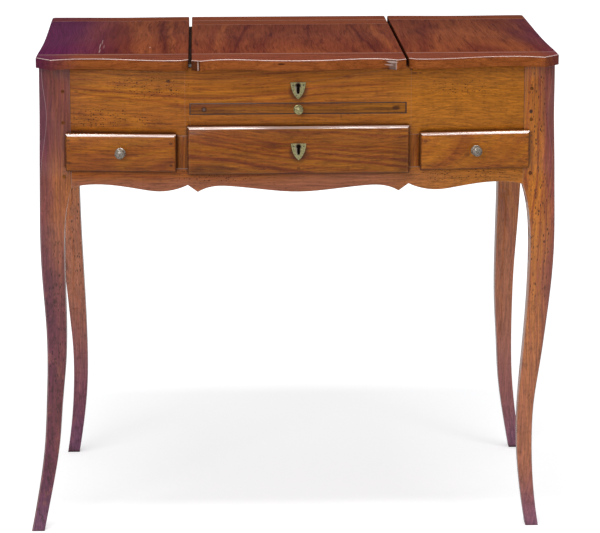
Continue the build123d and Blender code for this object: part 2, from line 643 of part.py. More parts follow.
SIDE_BOX = (STILE_OUTER + SIDE_PLAY, POST_INNER - SIDE_PLAY)
SIDE_BOX_Z = (SIDE_OPENING_BOTTOM + RUNNING_GAP, SIDE_OPENING_TOP - SIDE_PLAY)
CENTRE_BOX_HALF = PARTITION_INNER - SIDE_PLAY
CENTRE_BOX_Z = (CENTRE_OPENING_BOTTOM + RUNNING_GAP, CENTRE_OPENING_TOP - SIDE_PLAY)
SLIDE_BOARD_Z = ((SLOT_BOTTOM + SLOT_TOP - SLIDE_BOARD_THICKNESS) / 2,
                 (SLOT_BOTTOM + SLOT_TOP + SLIDE_BOARD_THICKNESS) / 2)
INSIDE_LENGTH = (FRONT_INNER, BACK_INNER)

with BuildPart() as drawer_runners:
    for side in (-1, 1):
        block(span(side, PARTITION_INNER - RUNNER_WIDTH, PARTITION_INNER), INSIDE_LENGTH,
              (CENTRE_OPENING_BOTTOM - RUNNER_HEIGHT, CENTRE_OPENING_BOTTOM))
        block(span(side, POST_INNER - RUNNER_WIDTH, POST_INNER), INSIDE_LENGTH,
              (SIDE_OPENING_BOTTOM - RUNNER_HEIGHT, SIDE_OPENING_BOTTOM))
        block(span(side, PARTITION_OUTER, SIDE_BOX[0] + RUNNER_WIDTH), INSIDE_LENGTH,
              (SIDE_OPENING_BOTTOM - RUNNER_HEIGHT, SIDE_OPENING_BOTTOM))
        block(span(side, PARTITION_OUTER, SIDE_BOX[0] - RUNNING_GAP), INSIDE_LENGTH,
              (SIDE_OPENING_BOTTOM, SIDE_OPENING_BOTTOM + GUIDE_HEIGHT))
finish(drawer_runners, "drawer_runners")

with BuildPart() as slide_runners:
    for side in (-1, 1):
        x = span(side, PARTITION_INNER - RUNNER_WIDTH, PARTITION_INNER)
        block(x, INSIDE_LENGTH, (SLIDE_BOARD_Z[0] - RUNNING_GAP - RUNNER_HEIGHT,
                                 SLIDE_BOARD_Z[0] - RUNNING_GAP))
        block(x, INSIDE_LENGTH, (SLIDE_BOARD_Z[1] + RUNNING_GAP, CENTRE_WELL_FLOOR))
finish(slide_runners, "slide_runners")


# ---- Drawers ----

def box_pieces(prefix, x, z, front_inner, block_piece):
    """Sides, back and floor of a drawer whose front's block is already made."""
    left, right = x
    floor = (z[0] + BOX_FLOOR_LIFT, z[0] + BOX_FLOOR_LIFT + BOX_FLOOR)
    floor_x = (left + BOX_SIDE - GROOVE_DEPTH, right - BOX_SIDE + GROOVE_DEPTH)
    floor_y = (front_inner - GROOVE_DEPTH, BOX_END)
    side_start = front_inner - SIDE_LAP
    with BuildPart() as front:
        add(block_piece)
        for limits in ((left, left + BOX_SIDE), (right - BOX_SIDE, right)):
            block(limits, (side_start, front_inner), z, Mode.SUBTRACT)
        block(floor_x, floor_y, floor, Mode.SUBTRACT)
    finish(front, f"{prefix}_front")
    with BuildPart() as sides:
        for limits in ((left, left + BOX_SIDE), (right - BOX_SIDE, right)):
            block(limits, (side_start, BOX_END), z)
        block(floor_x, floor_y, floor, Mode.SUBTRACT)
    finish(sides, f"{prefix}_sides")
    with BuildPart() as back:
        block((left + BOX_SIDE, right - BOX_SIDE), (BOX_END - BOX_BACK, BOX_END),
              (floor[1], z[1] - DRAWER_LAP))
    finish(back, f"{prefix}_back")
    with BuildPart() as bottom:
        block(floor_x, floor_y, floor)
    finish(bottom, f"{prefix}_bottom")


def bevel_front(piece):
    """Bevel around the front face of a drawer front: the foremost of its two broad faces."""
    face = piece.faces().sort_by(SortBy.AREA)[-2:].sort_by(Axis.Y)[0]
    chamfer(face.edges(), length=DRAWER_BEVEL)


def knob(name, seat, radius):
    """A turned knob on a seat plane: a rose, a neck and a flattened bulb, on a shank."""
    neck_end = (KNOB_NECK_RADIUS, KNOB_NECK_END)
    bulb = [(share * radius, depth * KNOB_PROJECTION) for share, depth in KNOB_BULB]
    with BuildPart() as turned:
        with BuildSketch(Plane(seat.origin, x_dir=seat.x_dir, z_dir=-seat.y_dir)):
            with BuildLine():
                Polyline((0, -KNOB_SHANK), (KNOB_SHANK_RADIUS, -KNOB_SHANK),
                         (KNOB_SHANK_RADIUS, 0), (KNOB_ROSE_RADIUS, 0),
                         (KNOB_ROSE_RADIUS, KNOB_ROSE_THICKNESS),
                         (KNOB_NECK_RADIUS, KNOB_NECK_START), neck_end)
                Spline(neck_end, *bulb, tangents=((1, 0), (-1, 0)))
                Line(bulb[-1], (0, -KNOB_SHANK))
            make_face()
        revolve(axis=Axis(seat.origin, seat.z_dir))
    finish(turned, name)


def shank_hole(seat):
    """The hole that a knob's shank fills."""
    with BuildSketch(seat) as hole:
        Circle(KNOB_SHANK_RADIUS)
    extrude(hole.sketch, amount=-KNOB_SHANK, mode=Mode.SUBTRACT)


for side, prefix in ((-1, "left_drawer"), (1, "right_drawer")):
    middle = side * (SIDE_START + SIDE_END) / 2
    slope = side * FRONT_BREAK / (POST_INNER - FLAT_HALF)
    seat = Plane((middle, slanted_y(middle) - DRAWER_PROUD,
                  (SIDE_TOP + SIDE_BOTTOM) / 2 + KNOB_RISE), x_dir=(1, slope, 0),
                 z_dir=(slope, -1, 0))
    with BuildPart() as lipped:
        with BuildSketch(Plane.XY.offset(SIDE_BOTTOM)):
            with BuildLine():
                Polyline((side * SIDE_START, slanted_y(SIDE_START) - DRAWER_PROUD),
                         (side * SIDE_END, slanted_y(SIDE_END) - DRAWER_PROUD),
                         (side * SIDE_END, POST_FRONT - RUNNING_GAP),
                         (side * POST_INNER, POST_FRONT - RUNNING_GAP),
                         (side * POST_INNER, POST_FRONT),
                         (side * SIDE_START, front_y(SIDE_START)), close=True)
            make_face()
        extrude(amount=SIDE_DRAWER_HEIGHT)
        bevel_front(lipped)
        with BuildSketch(Plane.XY.offset(SIDE_BOX_Z[0])):
            with BuildLine():
                Polyline((side * SIDE_BOX[0], front_y(SIDE_BOX[0])),
                         (side * SIDE_BOX[1], front_y(SIDE_BOX[1])),
                         (side * SIDE_BOX[1], DRAWER_BLOCK_BACK),
                         (side * SIDE_BOX[0], DRAWER_BLOCK_BACK), close=True)
            make_face()
        extrude(amount=SIDE_BOX_Z[1] - SIDE_BOX_Z[0])
        shank_hole(seat)
    box_pieces(prefix, span(side, *SIDE_BOX), SIDE_BOX_Z, DRAWER_BLOCK_BACK, lipped.part)
    knob(f"{prefix}_knob", seat, KNOB_RADIUS)

DRAWER_FACE = FLAT_FRONT - DRAWER_PROUD
DRAWER_PLATE_Z = CENTRE_BOTTOM + DRAWER_PLATE_RISE
with BuildPart() as lipped:
    block((-CENTRE_HALF, CENTRE_HALF), (DRAWER_FACE, FLAT_FRONT), (CENTRE_BOTTOM, CENTRE_TOP))
    bevel_front(lipped)
    block((-CENTRE_BOX_HALF, CENTRE_BOX_HALF), (FLAT_FRONT, CENTRE_BLOCK_BACK), CENTRE_BOX_Z)
    lock_body(DRAWER_LOCK_Y, DRAWER_LOCK_TOP, Mode.SUBTRACT)
    shield(DRAWER_PLATE_Z, DRAWER_FACE, PLATE_THICKNESS - PLATE_PROUD, Mode.SUBTRACT)
    keyhole(DRAWER_PLATE_Z + KEYHOLE_RISE, DRAWER_FACE, DRAWER_PROUD + FRONT_BLOCK)
box_pieces("centre_drawer", (-CENTRE_BOX_HALF, CENTRE_BOX_HALF), CENTRE_BOX_Z,
           CENTRE_BLOCK_BACK, lipped.part)


# ---- Brushing slide ----

SLIDE_FACE = FLAT_FRONT + SLIDE_RECESS
SLIDE_BACK_OF_FRONT = SLIDE_FACE + SLIDE_FRONT_THICKNESS
SLIDE_FRONT_Z = (SLOT_BOTTOM + RUNNING_GAP, SLOT_TOP - RUNNING_GAP)
SLIDE_SEAT = Plane((0, SLIDE_FACE, (SLOT_BOTTOM + SLOT_TOP) / 2), x_dir=(1, 0, 0),
                   z_dir=(0, -1, 0))

with BuildPart() as slide_board:
    block((-CENTRE_BOX_HALF, CENTRE_BOX_HALF), (SLIDE_BACK_OF_FRONT, BOX_END), SLIDE_BOARD_Z)
finish(slide_board, "slide_board")

with BuildPart() as slide_front:
    half = SLOT_HALF - SIDE_PLAY
    block((-half, half), (SLIDE_FACE, SLIDE_BACK_OF_FRONT), SLIDE_FRONT_Z)
    shank_hole(SLIDE_SEAT)
finish(slide_front, "slide_front")

knob("slide_knob", SLIDE_SEAT, SLIDE_KNOB_RADIUS)


# ---- Locks, bolts and escutcheons ----

def make_lock(prefix, y, top, plate_z, face_y):
    with BuildPart() as lock_case:
        lock_body(y, top)
        bolt = bolt_limits(y, top, BOLT_PLAY)
        block(bolt[0], bolt[1], (bolt[2][0], top), Mode.SUBTRACT)
        keyhole(plate_z + KEYHOLE_RISE, y[0], LOCK_THICKNESS / 2)
    finish(lock_case, f"{prefix}_lock_case")
    with BuildPart() as bolt_piece:
        block(*bolt_limits(y, top))
    finish(bolt_piece, f"{prefix}_lock_bolt")
    with BuildPart() as plate:
        shield(plate_z, face_y - PLATE_PROUD, PLATE_THICKNESS)
        keyhole(plate_z + KEYHOLE_RISE, face_y - PLATE_PROUD, PLATE_THICKNESS)
    finish(plate, f"{prefix}_escutcheon")


make_lock("lid", LID_LOCK_Y, CASE_TOP, CASE_TOP - LID_PLATE_DROP, FLAT_FRONT)
make_lock("drawer", DRAWER_LOCK_Y, DRAWER_LOCK_TOP, DRAWER_PLATE_Z, DRAWER_FACE)


# ---- Lids: field boards between battens ----

def centre_outline():
    front = [(share * CENTRE_LID_HALF, LID_HOLLOW_Y - ahead * LID_SCALLOP)
             for share, ahead in CENTRE_LID_CURVE]
    corner = (CENTRE_LID_HALF, LID_HOLLOW_Y - CENTRE_LID_CORNER * LID_SCALLOP)
    Spline(*([(-x, y) for x, y in reversed(front[1:])] + front))
    for side in (-1, 1):
        Polyline((side * front[-1][0], front[-1][1]), (side * corner[0], corner[1]),
                 (side * corner[0], LID_BACK))
    Line((-CENTRE_LID_HALF, LID_BACK), (CENTRE_LID_HALF, LID_BACK))


def flap_outline(side):
    width = FLAP_OUTER - FLAP_INNER
    front = [(FLAP_INNER + share * width, LID_HOLLOW_Y - ahead * LID_SCALLOP)
             for share, ahead in FLAP_CURVE]
    corner_y = LID_HOLLOW_Y - FLAP_OUTER_CORNER * LID_SCALLOP
    depth = LID_BACK - LID_BACK_RADIUS - corner_y
    edge = [(FLAP_OUTER - inset * FLAP_SIDE_HOLLOW, corner_y + share * depth)
            for share, inset in FLAP_SIDE_CURVE]
    rounded = (edge[-1][0] - LID_BACK_RADIUS, LID_BACK)
    hollow = ((rounded[0] + FLAP_INNER) / 2, LID_BACK - FLAP_BACK_HOLLOW)
    inner_front = (FLAP_INNER, LID_HOLLOW_Y - FLAP_INNER_CORNER * LID_SCALLOP)

    def placed(points):
        return [(side * x, y) for x, y in points]

    Spline(*placed(front))
    Line(*placed((front[-1], edge[0])))
    Spline(*placed(edge), tangents=((0, 1), (0, 1)))
    TangentArc(*placed((edge[-1], rounded)), tangent=(0, 1))
    Spline(*placed((rounded, hollow, (FLAP_INNER, LID_BACK))), tangents=((-side, 0), (-side, 0)))
    Polyline(*placed(((FLAP_INNER, LID_BACK), inner_front, front[0])))


def lid_blank(side):
    """The whole lid, with every arris softened."""
    with BuildSketch(Plane.XY.offset(CASE_TOP)) as outline:
        with BuildLine():
            centre_outline() if side == 0 else flap_outline(side)
        make_face()
    body = extrude(outline.sketch, amount=LID_THICKNESS)
    softened = fillet(body.edges().filter_by(Axis.Z), radius=LID_CORNER_RADIUS)
    fillet(softened.faces().sort_by(Axis.Z)[-1].edges(), radius=LID_ARRIS)


TONGUE_Z = (CASE_TOP + (LID_THICKNESS - TONGUE_THICKNESS) / 2,
            CASE_TOP + (LID_THICKNESS + TONGUE_THICKNESS) / 2)
ALL_X = (-REACH, REACH)
ALL_Z = (CASE_TOP, TABLE_HEIGHT)


def cut_ahead(y, tongue):
    """Take away what lies ahead of y, but for a tongue if there is one."""
    if tongue:
        block(ALL_X, (-REACH, y - TONGUE), ALL_Z, Mode.SUBTRACT)
        block(ALL_X, (y - TONGUE, y), (ALL_Z[0], TONGUE_Z[0]), Mode.SUBTRACT)
        block(ALL_X, (y - TONGUE, y), (TONGUE_Z[1], ALL_Z[1]), Mode.SUBTRACT)
    else:
        block(ALL_X, (-REACH, y), ALL_Z, Mode.SUBTRACT)
        block(ALL_X, (y, y + TONGUE), TONGUE_Z, Mode.SUBTRACT)


def cut_behind(y, tongue):
    """Take away what lies behind y, but for a tongue if there is one."""
    if tongue:
        block(ALL_X, (y + TONGUE, REACH), ALL_Z, Mode.SUBTRACT)
        block(ALL_X, (y, y + TONGUE), (ALL_Z[0], TONGUE_Z[0]), Mode.SUBTRACT)
        block(ALL_X, (y, y + TONGUE), (TONGUE_Z[1], ALL_Z[1]), Mode.SUBTRACT)
    else:
        block(ALL_X, (y, REACH), ALL_Z, Mode.SUBTRACT)
        block(ALL_X, (y - TONGUE, y), TONGUE_Z, Mode.SUBTRACT)


def fit_hinges(side):
    """Recesses under a lid for its leaves, and notches around the knuckles."""
    clear = HINGE_RADIUS + 2 * HINGE_GAP
    half = HINGE_LENGTH / 2 + HINGE_GAP
    for lid, hinge_side, centre in hinge_centres():
        if hinge_side == side:
            hinge_seat(side, centre, LID_LEAF_Z)
            along(side, (-REACH, clear), (centre - half, centre + half),
                  (CASE_TOP, CASE_TOP + clear), Mode.SUBTRACT)


LIDS = (("left_flap", -1), ("centre_lid", 0), ("right_flap", 1))
STRIKE_HALF = STRIKE_LENGTH / 2
LID_BOLT = bolt_limits(LID_LOCK_Y, CASE_TOP, BOLT_PLAY)
STRIKE_Y = (sum(LID_LOCK_Y) / 2 - STRIKE_WIDTH / 2, sum(LID_LOCK_Y) / 2 + STRIKE_WIDTH / 2)

for lid, side in LIDS:
    field_back = INNER_JOINT_Y if side == 0 else BACK_JOINT_Y
    with BuildPart() as front_batten:
        lid_blank(side)
        cut_behind(FRONT_JOINT_Y, False)
        if side == 0:
            block((-STRIKE_HALF, STRIKE_HALF), STRIKE_Y, (CASE_TOP, CASE_TOP + STRIKE_THICKNESS),
                  Mode.SUBTRACT)
            block(LID_BOLT[0], LID_BOLT[1], (CASE_TOP, CASE_TOP + MORTISE_DEPTH), Mode.SUBTRACT)
    finish(front_batten, f"{lid}_front_batten")
    with BuildPart() as field:
        lid_blank(side)
        cut_ahead(FRONT_JOINT_Y, True)
        cut_behind(field_back, True)
        fit_hinges(side)
    finish(field, f"{lid}_field")
    with BuildPart() as back_batten:
        lid_blank(side)
        cut_ahead(BACK_JOINT_Y, False)
        fit_hinges(side)
    finish(back_batten, f"{lid}_back_batten")

with BuildPart() as inner_batten:
    lid_blank(0)
    cut_ahead(INNER_JOINT_Y, False)
    cut_behind(BACK_JOINT_Y, True)
finish(inner_batten, "centre_lid_inner_batten")

with BuildPart() as strike_plate:
    block((-STRIKE_HALF, STRIKE_HALF), STRIKE_Y, (CASE_TOP, CASE_TOP + STRIKE_THICKNESS))
    block(LID_BOLT[0], LID_BOLT[1], (CASE_TOP, CASE_TOP + STRIKE_THICKNESS), Mode.SUBTRACT)
finish(strike_plate, "lid_strike_plate")


# ---- Mirror under the centre lid ----

MIRROR_HALF = MIRROR_FRAME_WIDTH / 2
MIRROR_Y = (FRONT_JOINT_Y + MIRROR_FRONT_GAP, INNER_JOINT_Y - MIRROR_BACK_GAP)
MIRROR_Z = (CASE_TOP - MIRROR_FRAME_DEPTH, CASE_TOP)
GLASS_HALF = MIRROR_HALF - MIRROR_FRAME_BAR + MIRROR_REBATE
GLASS_Y = (MIRROR_Y[0] + MIRROR_FRAME_BAR - MIRROR_REBATE,
           MIRROR_Y[1] - MIRROR_FRAME_BAR + MIRROR_REBATE)
GLASS_Z = (CASE_TOP - MIRROR_THICKNESS, CASE_TOP)

with BuildPart() as mirror_frame:
    block((-MIRROR_HALF, MIRROR_HALF), MIRROR_Y, MIRROR_Z)
    fillet(mirror_frame.faces().sort_by(Axis.Z)[0].edges(), radius=LID_ARRIS)
    block((-GLASS_HALF + MIRROR_REBATE, GLASS_HALF - MIRROR_REBATE),
          (GLASS_Y[0] + MIRROR_REBATE, GLASS_Y[1] - MIRROR_REBATE), MIRROR_Z, Mode.SUBTRACT)
    block((-GLASS_HALF, GLASS_HALF), GLASS_Y, GLASS_Z, Mode.SUBTRACT)
finish(mirror_frame, "mirror_frame")

with BuildPart() as mirror_glass:
    block((-GLASS_HALF, GLASS_HALF), GLASS_Y, GLASS_Z)
finish(mirror_glass, "mirror_glass")


# ---- Hinges: two case knuckles and one lid knuckle on each pin ----

KNUCKLE = (HINGE_LENGTH - 2 * HINGE_GAP) / 3


def barrel(side, limits, radius, mode=Mode.ADD):
    """A cylinder on a hinge's axis between two places along it."""
    start, end = limits
    if side == 0:
        plane = Plane(origin=(start, HINGE_Y, CASE_TOP), z_dir=(1, 0, 0))
    else:
        plane = Plane(origin=(side * HINGE_X, start, CASE_TOP), z_dir=(0, 1, 0))
    with BuildSketch(plane) as section:
        Circle(radius)
    extrude(section.sketch, amount=end - start, mode=mode)


def leaf(side, centre, z, knuckles, bore):
    """One leaf with its knuckles, let in flush with the wood."""
    half = HINGE_LENGTH / 2
    clear = HINGE_RADIUS + 2 * HINGE_GAP
    along(side, (clear, HINGE_LEAF_WIDTH), (centre - half, centre + half), z)
    for limits in knuckles:
        along(side, (0, clear), limits, z)
        barrel(side, limits, HINGE_RADIUS)
    barrel(side, (centre - half, centre + half), bore, Mode.SUBTRACT)


def outer_knuckles(centre):
    half = HINGE_LENGTH / 2
    return ((centre - half, centre - half + KNUCKLE), (centre + half - KNUCKLE, centre + half))


with BuildPart() as case_hinge_leaves:
    for lid, side, centre in hinge_centres():
        leaf(side, centre, CASE_LEAF_Z, outer_knuckles(centre), PIN_RADIUS)
finish(case_hinge_leaves, "case_hinge_leaves")

for lid, lid_side in LIDS:
    with BuildPart() as lid_leaves:
        for owner, side, centre in hinge_centres():
            if owner == lid:
                leaf(side, centre, LID_LEAF_Z,
                     ((centre - KNUCKLE / 2, centre + KNUCKLE / 2),), PIN_RADIUS + PIN_FIT)
    finish(lid_leaves, f"{lid}_hinge_leaves")

with BuildPart() as hinge_pins:
    for lid, side, centre in hinge_centres():
        barrel(side, (centre - HINGE_LENGTH / 2, centre + HINGE_LENGTH / 2), PIN_RADIUS)
finish(hinge_pins, "hinge_pins")
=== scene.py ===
"""A poudreuse dressing table: its finishes, fittings, floor, light and camera, around the frame."""
import json
from dataclasses import dataclass
from math import cos, radians, sin

import bmesh
import bpy
from bpy.props import FloatProperty, FloatVectorProperty, PointerProperty
from bpy.types import Operator, Panel, PropertyGroup
from mathutils import Matrix, Vector

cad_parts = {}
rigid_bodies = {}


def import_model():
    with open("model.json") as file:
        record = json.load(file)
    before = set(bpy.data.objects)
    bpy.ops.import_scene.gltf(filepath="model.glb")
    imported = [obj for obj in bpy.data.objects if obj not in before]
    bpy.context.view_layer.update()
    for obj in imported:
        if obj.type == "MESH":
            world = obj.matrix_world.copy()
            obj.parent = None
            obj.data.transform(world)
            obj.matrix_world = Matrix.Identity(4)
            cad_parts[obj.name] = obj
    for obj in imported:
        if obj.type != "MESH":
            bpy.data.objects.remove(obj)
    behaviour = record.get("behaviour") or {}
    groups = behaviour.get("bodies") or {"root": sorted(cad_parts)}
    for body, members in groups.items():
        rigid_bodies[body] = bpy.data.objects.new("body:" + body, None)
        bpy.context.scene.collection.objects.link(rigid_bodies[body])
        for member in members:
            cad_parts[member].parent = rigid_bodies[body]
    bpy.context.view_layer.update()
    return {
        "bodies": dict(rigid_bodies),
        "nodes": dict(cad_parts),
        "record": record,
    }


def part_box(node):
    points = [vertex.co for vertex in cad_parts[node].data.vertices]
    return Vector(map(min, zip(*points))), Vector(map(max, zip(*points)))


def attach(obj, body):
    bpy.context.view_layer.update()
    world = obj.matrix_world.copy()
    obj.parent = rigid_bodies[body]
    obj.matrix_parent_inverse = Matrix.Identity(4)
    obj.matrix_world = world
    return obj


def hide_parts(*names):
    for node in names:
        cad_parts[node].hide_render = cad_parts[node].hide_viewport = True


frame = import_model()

bl_info = {
    "name": "Poudreuse Dressing Table",
    "version": (1, 0, 0),
    "blender": (4, 5, 0),
    "location": "3D View > Sidebar > Dressing Table",
    "description": "Dresses the packed frame of a three-lidded dressing table",
    "category": "Object",
}

MM = 0.001
CASE_LEFT, CASE_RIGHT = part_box("front_panel")[0].x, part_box("front_panel")[1].x
CASE_X = (CASE_LEFT + CASE_RIGHT) / 2
CASE_Y = (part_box("leg_front_left")[0].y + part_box("leg_back_left")[1].y) / 2
CASE_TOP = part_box("front_panel")[1].z


def colour(name, description, red, green, blue):
    """A property that holds a colour, in linear light."""
    return FloatVectorProperty(name=name, description=description, subtype="COLOR", size=3,
                               min=0, max=1, default=(red, green, blue))


def length(name, description, millimetres):
    """A property that holds a length, given here in millimetres."""
    return FloatProperty(name=name, description=description, unit="LENGTH", min=0,
                         precision=5, default=millimetres * MM)


def level(name, description, default):
    """A property that holds a plain number."""
    return FloatProperty(name=name, description=description, min=0, default=default)


class WoodFinish(PropertyGroup):
    """Colours and softened edges of the walnut and the oak."""
    golden: colour("Golden walnut", "Light wood of the case", 0.47, 0.160, 0.012)
    brown: colour("Brown walnut", "Middle tone of the case", 0.28, 0.062, 0.010)
    vein: colour("Vein", "Dark veins and late wood", 0.11, 0.017, 0.012)
    lid_light: colour("Lid, light", "Light wood of the lids", 0.235, 0.062, 0.022)
    lid_brown: colour("Lid, brown", "Middle tone of the lids", 0.10, 0.016, 0.012)
    lid_vein: colour("Lid, vein", "Dark veins of the lids", 0.05, 0.007, 0.008)
    # where purple lies at the left ends of the lids and on the left leg's outer facet, it is a
    # painted colour cast of shade
    purple: colour("Purple patina", "Old stain towards the left side", 0.082, 0.012, 0.046)
    # plum is also the painted shade on faces turned to the left
    plum: colour("Plum patina", "Old polish towards the feet", 0.125, 0.024, 0.044)
    mauve: colour("Mauve feet", "Scuffed polish of the feet", 0.17, 0.065, 0.13)
    rosy: colour("Rosy wood", "Reddish wood low on the case and legs", 0.30, 0.105, 0.062)
    # worn is also whitened for the painted highlight along upper front edges, corner arrises and
    # lid joints
    worn: colour("Worn edge", "Rubbed wood along the arrises", 0.80, 0.62, 0.56)
    # pore is also the colour of painted shade: in corners, round fronts and plates, under the lids,
    # on the cant turned left and over keyholes
    pore_and_shade: colour("Pore", "Open pores, worm holes and wax in corners", 0.035, 0.010, 0.006)
    oak_light: colour("Oak, light", "Light wood of the inner parts", 0.43, 0.235, 0.105)
    oak_dark: colour("Oak, dark", "Dark wood of the inner parts", 0.24, 0.115, 0.048)
    arris: length("Arris", "Width of the softened edges of the case, legs and drawers", 0.7)
    lid_arris: length("Lid arris", "Width of the softened edges of the lids' boards", 0.35)
    grain_depth: length("Grain depth", "Relief of the polished walnut", 0.22)
    oak_depth: length("Oak depth", "Relief of the bare oak", 0.30)


class MetalFinish(PropertyGroup):
    """Colours and small sizes of the brass, the iron and the mirror."""
    brass: colour("Brass", "Rubbed brass", 0.42, 0.38, 0.19)
    tarnish: colour("Tarnish", "Tarnish in the hollows of the brass", 0.06, 0.055, 0.022)
    silver: colour("Side knobs", "Worn, silvery knobs of the side drawers", 0.32, 0.28, 0.25)
    iron: colour("Iron", "Dark forged iron", 0.10, 0.095, 0.09)
    rust: colour("Rust", "Brown bloom on the iron", 0.13, 0.055, 0.025)
    glass: colour("Mirror", "Silvered glass", 0.80, 0.83, 0.82)
    foxing: colour("Foxing", "Spots where the mirror's silver has failed", 0.25, 0.22, 0.18)
    knob_radius: length("Knob radius", "Side drawer knobs", 7.4)
    slide_knob_radius: length("Slide knob radius", "Knob of the brushing slide", 6.8)
    knob_projection: length("Knob projection", "From the wood to the knob's face", 13.0)
    pin_radius: length("Pin radius", "Heads of the escutcheon pins", 1.0)
    screw_radius: length("Screw radius", "Heads of the screws in the hinges and locks", 1.9)
    scratch_depth: length("Scratch depth", "Relief of the brass", 0.08)
    forge_depth: length("Forge depth", "Relief of the iron", 0.15)


class StudioSettings(PropertyGroup):
    """Camera, floor and light."""
    lens: FloatProperty(name="Lens", description="Focal length of the camera", default=166.08)
    camera_place: FloatVectorProperty(name="Camera", description="Where the camera stands",
                                      subtype="TRANSLATION", size=3,
                                      default=(-0.131686, -4.190168, 1.294096))
    camera_turn: FloatVectorProperty(name="Camera turn", description="Yaw, pitch and roll",
                                     subtype="EULER", size=3,
                                     default=(-0.0358, -0.2188, 0.0012))
    floor: colour("Floor", "Pale studio floor", 0.80, 0.80, 0.805)
    sky: level("Room light", "Strength of the even light all round", 0.62)
    strip: level("Strip light", "Power of the long lamp above the front, in watts", 22.0)
    key: level("Front light", "Power of the broad lamp ahead, in watts", 34.0)


def wood():
    return bpy.context.scene.dressing_wood


def metal():
    return bpy.context.scene.dressing_metal


def studio():
    return bpy.context.scene.dressing_studio


# ---- Shader maths ----

class Value:
    """A node socket that takes part in Python arithmetic."""

    def __init__(self, nodes, socket):
        self.nodes = nodes
        self.socket = socket

    def math(self, operation, *others):
        return self.nodes.node("ShaderNodeMath", {"operation": operation},
                               dict(enumerate((self, *others))))

    def __add__(self, other):
        return self.math("ADD", other)

    __radd__ = __add__

    def __sub__(self, other):
        return self.math("SUBTRACT", other)

    def __rsub__(self, other):
        return self.nodes.node("ShaderNodeMath", {"operation": "SUBTRACT"}, {0: other, 1: self})

    def __mul__(self, other):
        return self.math("MULTIPLY", other)

    __rmul__ = __mul__

    def __truediv__(self, other):
        return self.math("DIVIDE", other)

    def __pow__(self, other):
        return self.math("POWER", other)

    def rise(self, low, high):
        """0 below low and 1 above high, smooth between them; low may be the larger."""
        return self.nodes.node("ShaderNodeMapRange", {"interpolation_type": "SMOOTHSTEP"},
                               {"Value": self, "From Min": low, "From Max": high})


class Nodes:
    """A node tree as it is put together: every node comes from one method."""

    def __init__(self, tree):
        self.tree = tree
        tree.nodes.clear()

    def node(self, kind, settings, inputs, output=0):
        """A new node with its settings, then the values or links of its sockets."""
        made = self.tree.nodes.new(kind)
        for name, setting in settings.items():
            setattr(made, name, setting)
        for name, value in inputs.items():
            if isinstance(value, Value):
                self.tree.links.new(value.socket, made.inputs[name])
            else:
                made.inputs[name].default_value = value
        return Value(self, made.outputs[output]) if made.outputs else None


class Finish(Nodes):
    """A material, with the patterns that the finishes here share."""

    def __init__(self, name):
        self.material = bpy.data.materials.new(name)
        self.material.use_nodes = True
        super().__init__(self.material.node_tree)

    def place(self):
        """Object coordinates, split into X, Y and Z in metres."""
        coordinates = self.node("ShaderNodeTexCoord", {}, {}, "Object")
        return [self.node("ShaderNodeSeparateXYZ", {}, {0: coordinates}, axis) for axis in range(3)]

    def facing(self, axis):
        """How far the surface looks along X, 0, or Y, 1."""
        normal = self.node("ShaderNodeNewGeometry", {}, {}, "Normal")
        return self.node("ShaderNodeSeparateXYZ", {}, {0: normal}, axis)

    def openness(self, reach):
        """1 on open faces and less in corners: painted shade in the woods, tarnish in the brass."""
        return self.node("ShaderNodeAmbientOcclusion", {"samples": 8}, {"Distance": reach}, "AO")

    def vector(self, x, y, z):
        return self.node("ShaderNodeCombineXYZ", {}, {0: x, 1: y, 2: z})

    def noise(self, vector, scale, detail=2.0, roughness=0.5):
        return self.node("ShaderNodeTexNoise", {"noise_dimensions": "3D"},
                         {"Vector": vector, "Scale": scale, "Detail": detail,
                          "Roughness": roughness})

    def stretched(self, place, scales):
        return self.vector(*(step * scale for step, scale in zip(place, scales)))

    def ripple(self, place, scales, detail, roughness=0.5):
        """Noise with its own scale along each axis, in ripples to the metre."""
        return self.noise(self.stretched(place, scales), 1.0, detail, roughness)

    def bands(self, along, scale, detail):
        """Noise along one number, for growth rings."""
        return self.node("ShaderNodeTexNoise", {"noise_dimensions": "1D"},
                         {"W": along, "Scale": scale, "Detail": detail})

    def cells(self, vector, output):
        """Cells about one unit across, by a Voronoi node's output."""
        return self.node("ShaderNodeTexVoronoi", {"feature": "F1"},
                         {"Vector": vector, "Scale": 1.0}, output)

    def chance(self, vector):
        """One random number for each of the cells."""
        return self.node("ShaderNodeSeparateColor", {}, {0: self.cells(vector, "Color")})

    def mix(self, factor, first, second, blend="MIX"):
        first = first if isinstance(first, Value) else (*first, 1)
        second = second if isinstance(second, Value) else (*second, 1)
        return self.node("ShaderNodeMix", {"data_type": "RGBA", "blend_type": blend},
                         {0: factor, 6: first, 7: second}, 2)

    def shaded(self, tint, value):
        """A colour made lighter or darker by a number."""
        grey = self.node("ShaderNodeCombineColor", {}, {0: value, 1: value, 2: value})
        return self.mix(1.0, tint, grey, "MULTIPLY")

    def bump(self, height, depth):
        return self.node("ShaderNodeBump", {}, {"Strength": 1.0, "Distance": depth,
                                                "Height": height})

    def surface(self, inputs):
        """The shader and the output, with constants set straight on the shader."""
        shader = self.node("ShaderNodeBsdfPrincipled", {}, inputs)
        self.node("ShaderNodeOutputMaterial", {}, {0: shader})
        return self.material


# ---- Woods ----

GRAIN_WANDER = 34.0 * MM  # how far the grain strays from a straight line
RING_WANDER = 8.0 * MM
WASH_EDGE = 50.0 * MM  # how ragged the edge of a wash is
CRISP_WASH = 10.0 * MM  # a wash over less than this has an even edge
OUTLINE_SHADE_WIDTH = 1.9 * MM  # painted shade along the sides of a front
CORNER_SHADE_REACH = 9.0 * MM  # how far painted shade reaches out of a corner
# the oak's painted shade in corners reaches further
OAK_SHADE_REACH = 25.0 * MM


